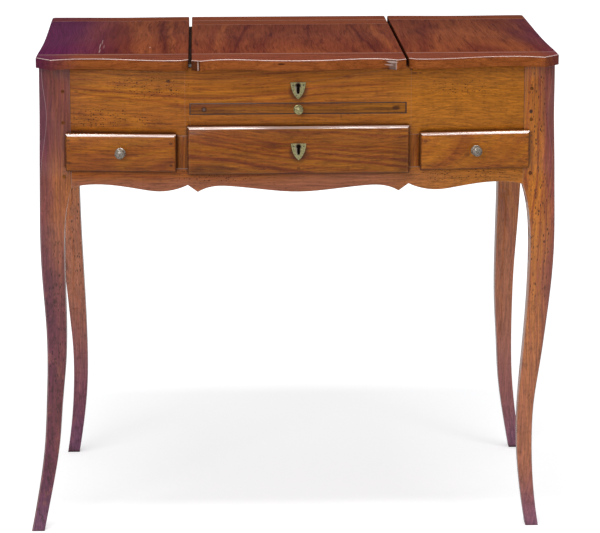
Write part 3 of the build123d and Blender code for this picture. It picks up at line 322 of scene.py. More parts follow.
@dataclass
class Board:
    """How one board was cut and how it has aged. Places and widths are in metres, in the
    frame, and an oval is its centre and its two radii in the plane of the board's face."""
    grain: str = "x"  # the axis that its fibres follow
    heart: tuple = (0.05, 0.03)  # where the tree's heart lay, across and behind the face
    taper: float = 0.06  # how far off the heart's line it was sawn
    seed: float = 0.0  # its place along the tree
    rings: float = 0.5  # strength of the growth rings
    veins: float = 0.5  # strength of the dark veins
    light: float = 1.0
    red: float = 0.0  # how much of it turned brown in clouds
    figure: float = 1.0  # width of its figure, against usual
    blotches: float = 0.0  # the front whose sides are lined with painted shade
    polish: float = 0.20  # weight of the clear coat
    washes: tuple = ()  # slow changes of colour: (axis, clear, full, colour, most); on the axis "side" they are painted shade by which way a face turns
    above: float = 0.0  # below this height it has no washes, marks or scuffs
    outline: str = ""  # the front whose sides are lined with wax
    seams: tuple = ()  # lines along joints: (axis, place, half width, colour, strength)
    marks: tuple = ()  # dark places: (oval, strength)
    scuffs: tuple = ()  # rubbed places: (oval, strength)
    worms: tuple = ()  # ovals with worm holes


class Growth:
    """The pattern that a board's growth gives it, as values from 0 to 1."""

    def __init__(self, finish, board):
        self.x, self.y, self.z = finish.place()
        x, y, z = self.x, self.y, self.z
        along, across, deep = {"x": (x, z, y), "y": (y, x, z), "z": (z, x, y)}[board.grain]
        along = along + board.seed
        sawn = (along, across, deep)
        drift = finish.ripple(sawn, (3.0, 9.0, 9.0), 3.0) - 0.5
        off = across + drift * GRAIN_WANDER - board.heart[0]
        low = deep + along * board.taper - board.heart[1]
        fibre = (along, off, low)
        radius = (off * off + low * low) ** 0.5
        wide = 1 / board.figure
        self.rings = finish.bands(radius + drift * RING_WANDER + board.seed, 210.0 * wide, 4.0)
        self.veins = finish.ripple(fibre, (4.0, 80.0 * wide, 80.0 * wide), 4.0, 0.65)
        self.streaks = finish.ripple(fibre, (14.0 * wide, 420.0, 420.0), 4.0, 0.75)
        self.flame = finish.ripple(fibre, (22.0 * wide, 150.0, 150.0), 5.0, 0.7)
        self.cloud = finish.ripple(sawn, (6.0, 14.0, 14.0), 4.0)
        self.blotch = finish.ripple(sawn, (55.0, 90.0, 90.0), 6.0, 0.75)
        dashes = finish.stretched(fibre, (120.0, 1000.0, 1000.0))
        self.pores = (finish.cells(dashes, "Distance").rise(0.40, 0.10)
                      * finish.chance(dashes).rise(0.45, 0.75))


def spot(place, centre, radii):
    """A soft-edged oval in a plane: 1 inside and 0 outside. Each argument has two numbers."""
    first = (place[0] - centre[0]) / radii[0]
    second = (place[1] - centre[1]) / radii[1]
    return (first * first + second * second).rise(1.4, 0.3)


def worm_holes(finish, grain, place, centre, radii):
    """A scatter of small dark holes and short grooves over an oval area."""
    lengthwise, crosswise = (280.0, 620.0) if grain == "x" else (560.0, 150.0)
    grid = finish.vector(place[0] * lengthwise, 0.0, place[1] * crosswise)
    holes = finish.cells(grid, "Distance").rise(0.42, 0.24) * finish.chance(grid).rise(0.66, 0.72)
    return holes * spot(place, centre, radii)


def kept_above(growth, board, stain):
    """The same stain, but none below the height from which the board shows it."""
    return stain * growth.z.rise(board.above - MM, board.above) if board.above else stain


def washed(finish, growth, board, tint):
    """Slow changes of colour over a board along an axis, and painted shade where it turns to one
    side.
    """
    for axis, clear, full, name, most in board.washes:
        reach = finish.facing(0) if axis == "side" else getattr(growth, axis)
        if axis != "side" and abs(full - clear) > CRISP_WASH:
            reach = reach + (growth.cloud - 0.5) * WASH_EDGE
        stain = kept_above(growth, board, reach.rise(clear, full) * most)
        tint = finish.mix(stain, tint, getattr(wood(), name))
    return tint


def outlined(finish, growth, board, tint):
    """Painted shade along the four sides of a front's face, for the dark gap round it."""
    ahead = finish.facing(1).rise(-0.5, -0.8)
    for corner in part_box(board.outline):
        for axis in "xz":
            off = (getattr(growth, axis) - getattr(corner, axis)).math("ABSOLUTE")
            tint = finish.mix(off.rise(OUTLINE_SHADE_WIDTH, OUTLINE_SHADE_WIDTH - MM) * ahead * 0.9, tint, wood().pore_and_shade)
    return tint


def seamed(finish, growth, board, tint):
    """Thin broken lines along the joints of a board."""
    for axis, place, width, name, strength in board.seams:
        off = (getattr(growth, axis) - place).math("ABSOLUTE")
        broken = growth.flame.rise(0.30, 0.55) * 0.5 + 0.5
        tint = finish.mix(off.rise(width, width * 0.5) * broken * strength, tint,
                          getattr(wood(), name))
    return tint


def walnut(name, board, lid=False):
    """Polished walnut for one board. The legs have kept most of their shine, the lids least."""
    tones = wood()
    light, brown, vein = ((tones.lid_light, tones.lid_brown, tones.lid_vein) if lid
                          else (tones.golden, tones.brown, tones.vein))
    finish = Finish(name)
    growth = Growth(finish, board)
    tint = finish.mix(growth.rings.rise(0.30, 0.70) * board.rings, light, brown)
    tint = finish.mix(growth.rings.rise(0.58, 0.76) * board.rings * 0.6, tint, vein)
    tint = finish.mix(growth.cloud.rise(0.30, 0.75) * (0.35 + board.red), tint, brown)
    tint = finish.mix(growth.flame.rise(0.52, 0.68) * (0.6 if lid else 0.5), tint, vein)
    tint = finish.mix(growth.veins.rise(0.50, 0.78) * board.veins, tint, vein)
    tint = washed(finish, growth, board, tint)
    low = growth.z.rise(0.60, 0.30) * board.blotches
    tint = finish.mix(growth.blotch.rise(0.47, 0.36) * low * 0.55, tint, tones.rosy)
    tint = finish.mix(growth.blotch.rise(0.51, 0.62) * low, tint, tones.pore_and_shade)
    contrast = 1.6 if lid else 2.3
    shade = (1.0 - contrast / 2 + growth.streaks * contrast) * board.light
    tint = seamed(finish, growth, board, finish.shaded(tint, shade))
    if board.outline:
        tint = outlined(finish, growth, board, tint)
    plane = (growth.x, growth.y if board.grain == "y" else growth.z)
    for places, stain in ((board.marks, tones.pore_and_shade), (board.scuffs, tones.worn)):
        for place, strength in places:
            rubbed_in = kept_above(growth, board, spot(plane, *place) * strength)
            tint = finish.mix(rubbed_in, tint, stain)
    holes = growth.pores * 0.55
    for place in board.worms:
        holes = holes.math("MAXIMUM", worm_holes(finish, board.grain, plane, *place))
    tint = finish.mix(holes, tint, tones.pore_and_shade)
    # painted shade in corners and between parts
    tint = finish.mix(finish.openness(CORNER_SHADE_REACH).rise(0.78, 0.35) * 0.9, tint, tones.pore_and_shade)
    arris = finish.node("ShaderNodeAttribute", {"attribute_name": "arris"}, {}, "Fac")
    # pale rubbed wood along softened edges, and a painted highlight on the upper front ones
    tint = finish.mix(arris * (0.6 + growth.cloud.rise(0.35, 0.62) * 0.4), tint, tones.worn)
    height = growth.streaks * 0.35 + growth.rings * 0.3 - holes * 1.5 + growth.cloud * 0.8
    return finish.surface({
        "Base Color": tint,
        "Roughness": 0.36 + growth.cloud * 0.16 + holes * 0.25,
        "Specular IOR Level": 0.0 if lid else 0.12,
        "Coat Weight": (LID_POLISH if lid else board.polish) + arris * 0.8,
        "Coat Roughness": 0.10,
        "Coat IOR": 1.5,
        "Normal": finish.bump(height, tones.grain_depth),
    })


def oak(name, board):
    """Plain oak that was never polished: dry and greyed, with painted shade in its corners."""
    tones = wood()
    finish = Finish(name)
    growth = Growth(finish, board)
    tint = finish.mix(growth.rings.rise(0.36, 0.64) * 0.65, tones.oak_light, tones.oak_dark)
    tint = finish.mix(growth.cloud.rise(0.35, 0.8) * 0.5, tint, tones.oak_dark)
    tint = finish.shaded(tint, 0.6 + growth.streaks * 0.8)
    tint = finish.mix(growth.pores * 0.8, tint, tones.pore_and_shade)
    # painted shade in the corners
    tint = finish.mix(finish.openness(OAK_SHADE_REACH).rise(0.75, 0.30) * 0.95, tint, tones.pore_and_shade)
    height = growth.streaks * 0.6 - growth.pores * 1.5 + growth.rings * 0.5
    return finish.surface({
        "Base Color": tint,
        "Roughness": 0.62 + growth.cloud * 0.2,
        "Specular IOR Level": 0.12,
        "Normal": finish.bump(height, tones.oak_depth),
    })


# ---- Metals and glass ----

TARNISH_REACH = 1.5 * MM
LIP_SHIFT = (-0.8 * MM, -1.0 * MM)  # the worn lip shows low on the left of a keyhole
LIP_SIZE = (1.2, 1.15)


def old_brass(name, rubbed, hollow, keyholes=()):
    """Rubbed brass or silvered brass, tarnished in its hollows, bright at worn keyholes and with
    painted shade over their openings.
    """
    finish = Finish(name)
    x, y, z = finish.place()
    cloud = finish.noise(finish.vector(x, y, z), 420.0, 4.0, 0.75)
    scratch = finish.noise(finish.vector(x * 4.0, y, z * 0.6), 2600.0, 1.0)
    corner = finish.openness(TARNISH_REACH).rise(0.9, 0.4)
    dirt = cloud.rise(0.44, 0.60) * hollow + corner * 0.6
    tint = finish.mix(dirt.math("MINIMUM", 1.0), rubbed, metal().tarnish)
    for centre, radii in keyholes:
        lip = spot((x, z), [a + b for a, b in zip(centre, LIP_SHIFT)],
                   [a * b for a, b in zip(radii, LIP_SIZE)])
        tint = finish.mix(lip * cloud.rise(0.60, 0.45) * 0.8, tint, metal().silver)
        # a dark oval over the keyhole, wider than the cut hole: painted shade
        tint = finish.mix(spot((x, z), centre, radii), tint, wood().pore_and_shade)
    return finish.surface({
        "Base Color": tint,
        "Metallic": 0.92 - dirt * 0.35,
        "Roughness": 0.30 + dirt * 0.35 + scratch * 0.08,
        "Normal": finish.bump(cloud * 0.5 + scratch * 0.3, metal().scratch_depth),
    })


def forged_iron(name):
    """Dark iron with a brown bloom and file marks."""
    finish = Finish(name)
    x, y, z = finish.place()
    cloud = finish.noise(finish.vector(x, y, z), 160.0, 4.0, 0.6)
    filed = finish.noise(finish.vector(x * 8.0, y * 8.0, z * 0.4), 700.0, 1.0)
    bloom = cloud.rise(0.45, 0.70)
    tint = finish.mix(bloom, metal().iron, metal().rust)
    return finish.surface({
        "Base Color": tint,
        "Metallic": 0.85 - bloom * 0.6,
        "Roughness": 0.45 + cloud * 0.3,
        "Normal": finish.bump(cloud + filed * 0.4, metal().forge_depth),
    })


def silvered_glass(name):
    """Old mirror plate with dark spots creeping in from its edges."""
    finish = Finish(name)
    x, y, z = finish.place()
    low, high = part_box("mirror_glass")
    half = (high - low) / 2
    middle = (high + low) / 2
    side = ((x - middle.x) / half.x).math("ABSOLUTE")
    end = ((y - middle.y) / half.y).math("ABSOLUTE")
    edge = side.math("MAXIMUM", end)
    cloud = finish.noise(finish.vector(x, y, z), 60.0, 5.0, 0.65)
    spots = (cloud + edge.rise(0.88, 1.0) * 0.16).rise(0.64, 0.78)
    tint = finish.mix(spots * 0.8, metal().glass, metal().foxing)
    return finish.surface({
        "Base Color": tint,
        "Metallic": 1.0 - spots * 0.6,
        "Roughness": 0.03 + spots * 0.4,
    })


# ---- Modelling helpers ----

SAME_POINT = 0.01 * MM
SAME_PLANE = radians(0.4)
SHARP_EDGE = radians(30)
SMOOTHED = radians(32)  # faces that meet at less than this are shaded as one round
SHORTEST_ARRIS = 2.5 * MM
ARRIS_WEAR_AND_HIGHLIGHT = 0.22  # how far a softened edge is lightened towards pale wood: rubbed, and partly a painted highlight


def alone(piece):
    """Select and activate one object and nothing else."""
    bpy.ops.object.select_all(action="DESELECT")
    piece.select_set(True)
    bpy.context.view_layer.objects.active = piece


def body_of_node(node):
    """The moving body that a CAD node rides on."""
    return next(body for body, empty in frame["bodies"].items()
                if frame["nodes"][node].parent == empty)


def slot_of_node(node):
    """The material slot that the record gives a CAD node."""
    return next(row["material_slot"] for row in frame["record"]["subparts"]
                if row["node"] == node)


def copy_of_node(node, name):
    """A merged copy of a CAD node that stands for it: same place, whole faces, clean edges."""
    source = frame["nodes"][node]
    piece = bpy.data.objects.new(name, source.data.copy())
    bpy.context.scene.collection.objects.link(piece)
    piece.data.materials.clear()
    alone(piece)
    bpy.ops.object.mode_set(mode="EDIT")
    bpy.ops.mesh.select_all(action="SELECT")
    bpy.ops.mesh.remove_doubles(threshold=SAME_POINT)
    bpy.ops.mesh.customdata_custom_splitnormals_clear()
    bpy.ops.mesh.dissolve_limited(angle_limit=SAME_PLANE)
    bpy.ops.object.mode_set(mode="OBJECT")
    return piece


def keep(piece, material, body, slot, nodes=()):
    """Finish a piece: smooth its rounds, dress it and hang it on its body."""
    alone(piece)
    bpy.ops.object.shade_smooth_by_angle(angle=SMOOTHED)
    piece.data.materials.clear()
    piece.data.materials.append(material)
    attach(piece, body)
    if nodes:
        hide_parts(*nodes)


def soften(piece, width, upper_wear_and_highlight):
    """Bevel the sharp edges and note on each face, as "arris", how far it is lightened: rubbed wood
    and a painted highlight.

    The bevels are a little lightened. The last argument is for the front's upper edges, which a
    hand touches most and where light from above glints: rubbed wood with a painted highlight,
    whether this rounds them or they were rounded before.
    """
    alone(piece)
    mesh = bmesh.new()
    mesh.from_mesh(piece.data)
    for part in (*mesh.verts, *mesh.edges, *mesh.faces):
        part.select = False
    mesh.select_mode = {"EDGE"}
    for edge in mesh.edges:
        edge.select_set(len(edge.link_faces) == 2 and edge.calc_length() > SHORTEST_ARRIS
                        and edge.calc_face_angle(0) > SHARP_EDGE)
    mesh.select_flush_mode()
    mesh.to_mesh(piece.data)
    mesh.free()
    piece.data.materials.append(None)  # an empty slot for the old faces, until keep() fills it
    piece.data.materials.append(None)  # and one that marks the bevels
    bpy.ops.object.mode_set(mode="EDIT")
    bpy.ops.mesh.select_mode(type="EDGE")
    bpy.ops.mesh.bevel(offset=width, segments=2, profile=0.5, clamp_overlap=True, material=1)
    bpy.ops.object.mode_set(mode="OBJECT")
    rubbed = piece.data.attributes.new("arris", "FLOAT", "FACE")
    for polygon in piece.data.polygons:
        wear = ARRIS_WEAR_AND_HIGHLIGHT if polygon.material_index == 1 else 0.0
        # faces turned up and forward: rubbed, and a painted highlight
        if 0.40 < polygon.normal.z < 0.93 and polygon.normal.y < -0.2:
            wear = max(wear, upper_wear_and_highlight)
        rubbed.data[polygon.index].value = wear
        polygon.material_index = 0


def turned(name, profile, centre, axis, steps=40):
    """A turned solid: rings of (radius, height) drawn one from another along an axis."""
    bpy.ops.object.select_all(action="DESELECT")
    first = profile[0]
    bpy.ops.mesh.primitive_circle_add(vertices=steps, radius=first[0], fill_type="NGON",
                                      location=(0, 0, first[1]))
    piece = bpy.context.object
    piece.name = name
    bpy.ops.object.mode_set(mode="EDIT")
    bpy.ops.mesh.select_all(action="SELECT")
    for (radius, height), (wider, higher) in zip(profile, profile[1:]):
        scale = wider / radius
        bpy.ops.mesh.extrude_region_move(
            TRANSFORM_OT_translate={"value": (0, 0, higher - height)})
        bpy.ops.transform.resize(value=(scale, scale, 1), center_override=(0, 0, higher))
    bpy.ops.mesh.select_all(action="SELECT")
    bpy.ops.mesh.normals_make_consistent(inside=False)
    bpy.ops.object.mode_set(mode="OBJECT")
    turn = Vector((0, 0, 1)).rotation_difference(Vector(axis)).to_matrix().to_4x4()
    piece.data.transform(Matrix.Translation(centre) @ turn)
    piece.location = (0, 0, 0)
    piece.matrix_world = Matrix.Identity(4)
    return piece


def carve(piece, cutter):
    """Cut one shape out of another and delete the cutter."""
    cut = piece.modifiers.new("cut", "BOOLEAN")
    cut.operation = "DIFFERENCE"
    cut.object = cutter
    alone(piece)
    bpy.ops.object.modifier_apply(modifier="cut")
    bpy.data.objects.remove(cutter)


def joined(name, pieces):
    """One object from several, each with its own mesh."""
    bpy.ops.object.select_all(action="DESELECT")
    for piece in pieces:
        piece.select_set(True)
    bpy.context.view_layer.objects.active = pieces[0]
    if len(pieces) > 1:
        bpy.ops.object.join()
    pieces[0].name = name
    return pieces[0]


def dressed(nodes, material):
    """A CAD node whose shape is right keeps it and gets its finish."""
    for node in nodes:
        slots = frame["nodes"][node].data.materials
        slots.clear()
        slots.append(material)


# ---- The boards of the table ----

def oval(x, z, wide, high):
    """An oval on the front in millimetres: right of the middle, above the floor, half sizes."""
    return ((CASE_X + x * MM, z * MM), (wide * MM, high * MM))


def lid_oval(x, y, wide, deep):
    """An oval on the lids in millimetres: right of and behind the middle, half sizes."""
    return ((CASE_X + x * MM, CASE_Y + y * MM), (wide * MM, deep * MM))


PLATE_SHADE_REACH = 0.62  # of the plate's size, so a little past its edges
PLATE_SHADE_STRENGTH = 0.75


def plate_shade(node):
    """Painted shade in the wood round a plate that is nailed to the front."""
    low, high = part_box(node)
    middle = (low + high) / 2
    reach = (high - low) * PLATE_SHADE_REACH
    return (((middle.x, middle.z), (reach.x, reach.z)), PLATE_SHADE_STRENGTH)


POST_SEAM = 332.5 * MM  # from the middle to the joint of the front and a post
CASE_BOARDS = {
    "front_panel": Board(
        heart=(0.62, -0.13), taper=0.02, seed=0.3, rings=0.45, veins=0.28,
        washes=(("x", -0.27, -0.36, "purple", 0.30), ("x", 0.10, 0.20, "golden", 0.85)),
        seams=(("x", CASE_X - POST_SEAM, 1.0 * MM, "pore_and_shade", 0.7),
               ("x", CASE_X + POST_SEAM, 1.0 * MM, "pore_and_shade", 0.7),
               ("x", CASE_X + POST_SEAM + 2.0 * MM, 0.8 * MM, "worn", 0.35),
               # the wide dark line at the top is the lids' shadow, painted
               ("z", CASE_TOP, 2.2 * MM, "pore_and_shade", 0.8)),
        marks=(plate_shade("lid_escutcheon"),
               (oval(-189, 684, 3.5, 2.2), 0.7), (oval(-185, 671, 1.8, 2.2), 0.7),
               (oval(-205, 672, 6, 2), 0.35), (oval(-323, 668, 3, 2.2), 0.4),
               (oval(165, 700, 2.6, 2.2), 0.7), (oval(169, 694, 4.5, 1), 0.7),
               (oval(178, 694, 1.6, 1), 0.6), (oval(62.5, 631, 0.7, 4), 0.7)),
        worms=(oval(-272, 628, 75, 18), oval(-215, 676, 65, 18),
               oval(240, 672, 50, 12))),
    "front_apron": Board(
        heart=(0.50, -0.10), taper=0.03, seed=2.1, rings=0.6, red=0.25,
        washes=(("z", 0.556, 0.532, "rosy", 0.75), ("x", 0.10, 0.25, "golden", 0.75)),
        worms=(oval(250, 543, 90, 12), oval(-120, 545, 70, 12))),
    "drawer_divider_left": Board(grain="z", seed=3.3, light=0.84, red=0.3),
    "drawer_divider_right": Board(grain="z", seed=4.7, light=0.98),
    "side_panel_left": Board(
        grain="y", heart=(0.56, -0.34), seed=8.5, light=0.85, red=0.3,
        washes=(("z", 0.60, 0.50, "purple", 0.3),)),
    "side_panel_right": Board(grain="y", heart=(0.58, 0.34), seed=9.1, light=0.95),
}
PEG_BOARD = Board(grain="y", seed=1.0, light=0.42, red=0.4)

SLIDE_BOARDS = {
    "slide_front": Board(
        heart=(0.66, -0.18), taper=0.01, seed=5.2, veins=0.85, light=0.69, red=0.35,
        washes=(("x", 0.05, 0.12, "golden", 0.9),), outline="slide_front",
        marks=((oval(143, 643, 6, 3.5), 0.75), (oval(120, 641, 30, 2.5), 0.5),
               (oval(-122, 640, 45, 2.8), 0.35), (oval(50, 640, 50, 1.8), 0.3),
               (oval(-137.3, 642, 4.2, 4.2), 0.9)),
        scuffs=((oval(-137.3, 642, 2.4, 2.4), 0.12),)),
}
DRAWER_BOARDS = {
    "centre_drawer_front": Board(
        heart=(0.515, -0.208), taper=0.09, seed=0.9, rings=0.9, veins=0.7, light=0.70, red=0.3,
        outline="centre_drawer_front",
        marks=(plate_shade("drawer_escutcheon"), (oval(-128, 556, 34, 8), 0.35),
               (oval(0, 557, 3, 2), 0.5), (oval(150, 575, 14, 30), 0.2))),
    "left_drawer_front": Board(
        heart=(0.55, -0.20), taper=0.03, seed=6.4, rings=0.7, veins=0.75, light=0.78, red=0.2,
        outline="left_drawer_front",
        marks=((oval(-336, 598, 4, 2), 0.5), (oval(-336, 565, 5, 2), 0.5),
               (oval(-186, 594, 3, 2), 0.6), (oval(-186, 562, 3, 2), 0.6))),
    "right_drawer_front": Board(
        heart=(0.61, -0.18), taper=0.04, seed=7.7, rings=0.6, veins=0.45, light=0.88,
        outline="right_drawer_front",
        marks=((oval(336, 598, 3, 2), 0.4), (oval(336, 565, 3, 2), 0.4),
               (oval(186, 595, 3, 2), 0.4), (oval(247, 574, 5, 3), 0.45))),
}
SLIDE_TOP = Board(grain="y", seed=2.5, veins=0.3)

LEG_POLISH = 0.75
FOOT_STAIN = ("z", 0.14, -0.02, "purple", 0.5)
FOOT_SCUFF = ("z", 0.10, -0.01, "mauve", 0.75)
BACK_SCUFF = ("z", 0.28, 0.06, "mauve", 0.45)
# faces turned to the left are darkened with plum: painted shade
LEFT_SIDE_SHADE = ("side", -0.04, -0.45, "plum", 0.9)
LEG_BOARDS = {
    "leg_front_left": Board(
        grain="z", heart=(-0.43, -0.13), taper=0.02, seed=1.7, light=1.06, red=0.35,
        blotches=0.6, polish=LEG_POLISH,
        washes=(("z", 0.50, 0.60, "plum", 0.68), ("z", 0.60, 0.48, "rosy", 0.5),
                # the purple on the outer facet, turned to the left, is painted shade
                ("z", 0.54, 0.30, "plum", 0.88), ("x", -0.345, -0.366, "purple", 0.6),
                FOOT_STAIN, FOOT_SCUFF, LEFT_SIDE_SHADE),
        marks=((oval(-360, 354, 3, 4), 0.6),),
        worms=(oval(-357, 300, 22, 170),)),
    "leg_front_right": Board(
        grain="z", heart=(0.30, -0.10), taper=0.02, seed=2.9, rings=0.7, veins=0.6, light=1.25,
        blotches=0.30, polish=LEG_POLISH,
        washes=(("z", 0.56, 0.1, "rosy", 0.75), ("x", 0.360, 0.388, "plum", 0.7),
                FOOT_STAIN, FOOT_SCUFF),
        marks=((oval(342.5, 634, 2.8, 3.2), 0.95), (oval(354, 567, 0.9, 9), 0.6),
               (oval(343, 673, 2, 2), 0.5)),
        worms=(oval(352, 640, 16, 75), oval(358, 450, 20, 120))),
    "leg_back_left": Board(
        grain="z", heart=(-0.3, 0.28), seed=3.8, veins=0.3, light=1.35, blotches=0.4,
        polish=LEG_POLISH,
        washes=(("z", 0.60, 0.35, "rosy", 0.8), ("z", 0.35, 0.02, "plum", 0.9),
                BACK_SCUFF, FOOT_STAIN, FOOT_SCUFF, LEFT_SIDE_SHADE),
        worms=(oval(-330, 380, 30, 120),)),
    "leg_back_right": Board(
        grain="z", heart=(0.3, 0.28), seed=4.1, veins=0.3, light=1.29, polish=LEG_POLISH,
        washes=(("z", 0.60, 0.30, "rosy", 0.8), BACK_SCUFF, FOOT_SCUFF)),
}

LID_POLISH = 0.03
LID_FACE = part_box("centre_lid_field")[1].z
LID_MIDDLE = (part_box("left_flap_field")[0].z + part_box("left_flap_field")[1].z) / 2
LID_EDGE = ("z", LID_FACE - 1.0 * MM, LID_FACE - 3.5 * MM, "golden", 0.20)  # the front edge
LID_RIM = ("z", LID_FACE - 0.8 * MM, LID_FACE - 0.3 * MM, "lid_brown", 0.20)  # and its top
# the light lines along the lids' joints are a painted highlight on their arrises
LID_JOINT = 3.0 * MM
FRONT_JOINT = ("y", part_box("centre_lid_front_batten")[1].y - 8.0 * MM, LID_JOINT, "worn", 0.17)
INNER_JOINT = ("y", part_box("centre_lid_inner_batten")[0].y, LID_JOINT, "worn", 0.15)
BACK_JOINT = ("y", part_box("centre_lid_back_batten")[0].y, LID_JOINT, "worn", 0.17)
LID_BOARDS = {
    "centre_lid_field": Board(
        grain="y", heart=(0.02, 0.63), taper=0.03, seed=5.9, rings=0.8, veins=0.7, figure=2.5),
    "centre_lid_front_batten": Board(
        heart=(0.60, -0.17), seed=6.1, veins=0.4, light=1.14, seams=(FRONT_JOINT,),
        # the canted corner turned to the left is darkened with painted shade
        washes=(LID_EDGE, LID_RIM, ("side", -0.3, -0.6, "pore_and_shade", 0.85)),
        marks=((oval(-25.8, 714.5, 5.5, 1.6), 0.8), (oval(131, 714.5, 6, 0.9), 0.6),
               (oval(128, 706, 10, 1.6), 0.5)),
        # the thin upright scuffs at the two front corners are rubbed arrises with a painted
        # highlight
        scuffs=((oval(-145.4, 711, 0.9, 8), 0.5), (oval(134.5, 716, 8, 1.8), 0.4),
                (oval(130, 711.5, 6.5, 1.1), 0.3), (oval(139.8, 710, 0.9, 7.5), 0.3),
                (oval(135.5, 709.5, 6, 6), 0.12))),
    "centre_lid_inner_batten": Board(
        heart=(0.60, 0.23), seed=7.3, veins=0.3, light=0.98, seams=(INNER_JOINT, BACK_JOINT)),
    "centre_lid_back_batten": Board(
        heart=(0.62, 0.28), seed=8.8, veins=0.3, seams=(BACK_JOINT,)),
    "left_flap_field": Board(
        grain="y", heart=(-0.26, 0.62), taper=0.02, seed=0.4, rings=0.8, veins=0.8, figure=2.5,
        # the purple at the left end is painted shade
        washes=(("x", -0.22, -0.35, "purple", 1.0),), above=LID_MIDDLE,
        scuffs=((lid_oval(-289, -70, 0.8, 30), 0.2), (lid_oval(-291, -115, 0.8, 30), 0.26),
                (lid_oval(-285, -120, 0.7, 20), 0.15), (lid_oval(-290, -165, 1, 22), 0.22),
                (lid_oval(-216.5, -131, 1.1, 7), 0.25))),
    "left_flap_front_batten": Board(
        heart=(0.58, -0.21), seed=1.1, veins=0.4, light=1.05, seams=(FRONT_JOINT,),
        # the purple at the left end is painted shade
        washes=(LID_EDGE, LID_RIM, ("x", -0.30, -0.375, "purple", 0.9))),
    "left_flap_back_batten": Board(
        heart=(0.64, 0.25), seed=2.2, veins=0.3, light=0.92, seams=(BACK_JOINT,),
        # the purple at the left end is painted shade
        washes=(("x", -0.22, -0.38, "purple", 0.6),), above=LID_MIDDLE),
    "right_flap_field": Board(
        grain="y", heart=(0.28, 0.64), taper=0.03, seed=3.6, rings=0.8, veins=0.7, figure=2.5,
        light=0.96, washes=(("x", 0.33, 0.41, "purple", 0.7),), above=LID_MIDDLE),
    "right_flap_front_batten": Board(
        heart=(0.57, -0.19), seed=4.4, veins=0.4, light=1.14, seams=(FRONT_JOINT,),
        washes=(LID_EDGE, LID_RIM, ("x", 0.355, 0.40, "purple", 0.6))),
    "right_flap_back_batten": Board(
        heart=(0.65, 0.27), seed=5.5, veins=0.3, light=0.95, seams=(BACK_JOINT,)),
    "mirror_frame": Board(heart=(0.6, 0.1), seed=6.6, veins=0.4),
}

DRAWERS = ("centre_drawer", "left_drawer", "right_drawer")
OAK_GRAIN_X = ["back_panel",
               *(drawer + part for part in ("_back", "_bottom") for drawer in DRAWERS)]
OAK_GRAIN_Y = ["partition_left", "partition_right", "left_well_floor", "right_well_floor",
               "centre_well_floor", "drawer_runners", "slide_runners",
               *(drawer + "_sides" for drawer in DRAWERS)]

LID_WEAR_AND_HIGHLIGHT, DRAWER_WEAR_AND_HIGHLIGHT = 0.7, 1.0  # how far the upper edges along the front are lightened: rubbed, and a painted highlight


def tooled(boards, lid=False, upper_wear_and_highlight=0.0):
    """Soften and polish each board, in place of its CAD node."""
    width = wood().lid_arris if lid else wood().arris
    for node, board in boards.items():
        piece = copy_of_node(node, node + "_wood")
        soften(piece, width, upper_wear_and_highlight)
        keep(piece, walnut(node + "_walnut", board, lid), body_of_node(node),
             slot_of_node(node), (node,))


class DRESSING_OT_case(Operator):
    """Shape and polish the front, the dividers and the panels of the case"""
    bl_idname = "dressing.case"
    bl_label = "Case"

    def execute(self, context):
        tooled(CASE_BOARDS)
        dressed(["joint_pegs"], walnut("peg_walnut", PEG_BOARD))
        return {"FINISHED"}


class DRESSING_OT_legs(Operator):
    """Shape and polish the four legs"""
    bl_idname = "dressing.legs"
    bl_label = "Legs"

    def execute(self, context):
        tooled(LEG_BOARDS)
        return {"FINISHED"}


class DRESSING_OT_drawers(Operator):
    """Shape and polish the drawer fronts and the brushing slide"""
    bl_idname = "dressing.drawers"
    bl_label = "Drawers and slide"

    def execute(self, context):
        tooled(SLIDE_BOARDS)
        tooled(DRAWER_BOARDS, upper_wear_and_highlight=DRAWER_WEAR_AND_HIGHLIGHT)
        dressed(["slide_board"], walnut("slide_board_walnut", SLIDE_TOP, lid=True))
        return {"FINISHED"}


class DRESSING_OT_lids(Operator):
    """Shape and polish the three lids and the frame of the mirror"""
    bl_idname = "dressing.lids"
    bl_label = "Lids and mirror"

    def execute(self, context):
        tooled(LID_BOARDS, lid=True, upper_wear_and_highlight=LID_WEAR_AND_HIGHLIGHT)
        dressed(["mirror_glass"], silvered_glass("mirror_plate"))
        return {"FINISHED"}


class DRESSING_OT_inside(Operator):
    """Finish the oak pieces inside the case and the drawers"""
    bl_idname = "dressing.inside"
    bl_label = "Oak inside"

    def execute(self, context):
        dressed(OAK_GRAIN_X, oak("oak_crosswise", Board(heart=(0.5, 0.1), seed=1.3)))
        dressed(OAK_GRAIN_Y, oak("oak_lengthwise", Board(grain="y", heart=(0.1, 0.4), seed=2.7)))
        return {"FINISHED"}


# ---- Brass and iron ----

SIDE_SLOPE = 14.0 / 167.5  # how far the side drawer fronts fall back over their width
SHANK_RADIUS = 1.5 * MM
SHANK_LENGTH = 9.0 * MM
KNOB_SEAT = 5.0 * MM
KNOB_SHAPE = ((1.06, 0.05), (0.98, 0.10), (0.74, 0.13), (0.50, 0.20), (0.42, 0.30),
              (0.42, 0.42), (0.70, 0.47), (0.88, 0.53), (0.97, 0.61), (1.00, 0.70),
              (0.97, 0.79), (0.90, 0.85), (0.84, 0.865), (0.80, 0.885), (0.62, 0.94),
              (0.36, 0.985), (0.12, 1.0), (0.01, 1.0))  # shares of radius and projection
BOW_RADIUS = 4.3 * MM  # the round upper end of a keyhole, its wear and its painted shade
SLOT_RADII = (2.9 * MM, 6.2 * MM)
BOW_DROP, SLOT_DROP = 0.18, 0.42  # shares of a plate's height, down from its top
FIELD_SHARE = 0.80  # the recessed field inside a plate's border
FIELD_DEPTH = 0.3 * MM
PIN_SPREAD = 7.4 * MM
PIN_DROP = 4.2 * MM
PIN_SINK = 0.2 * MM
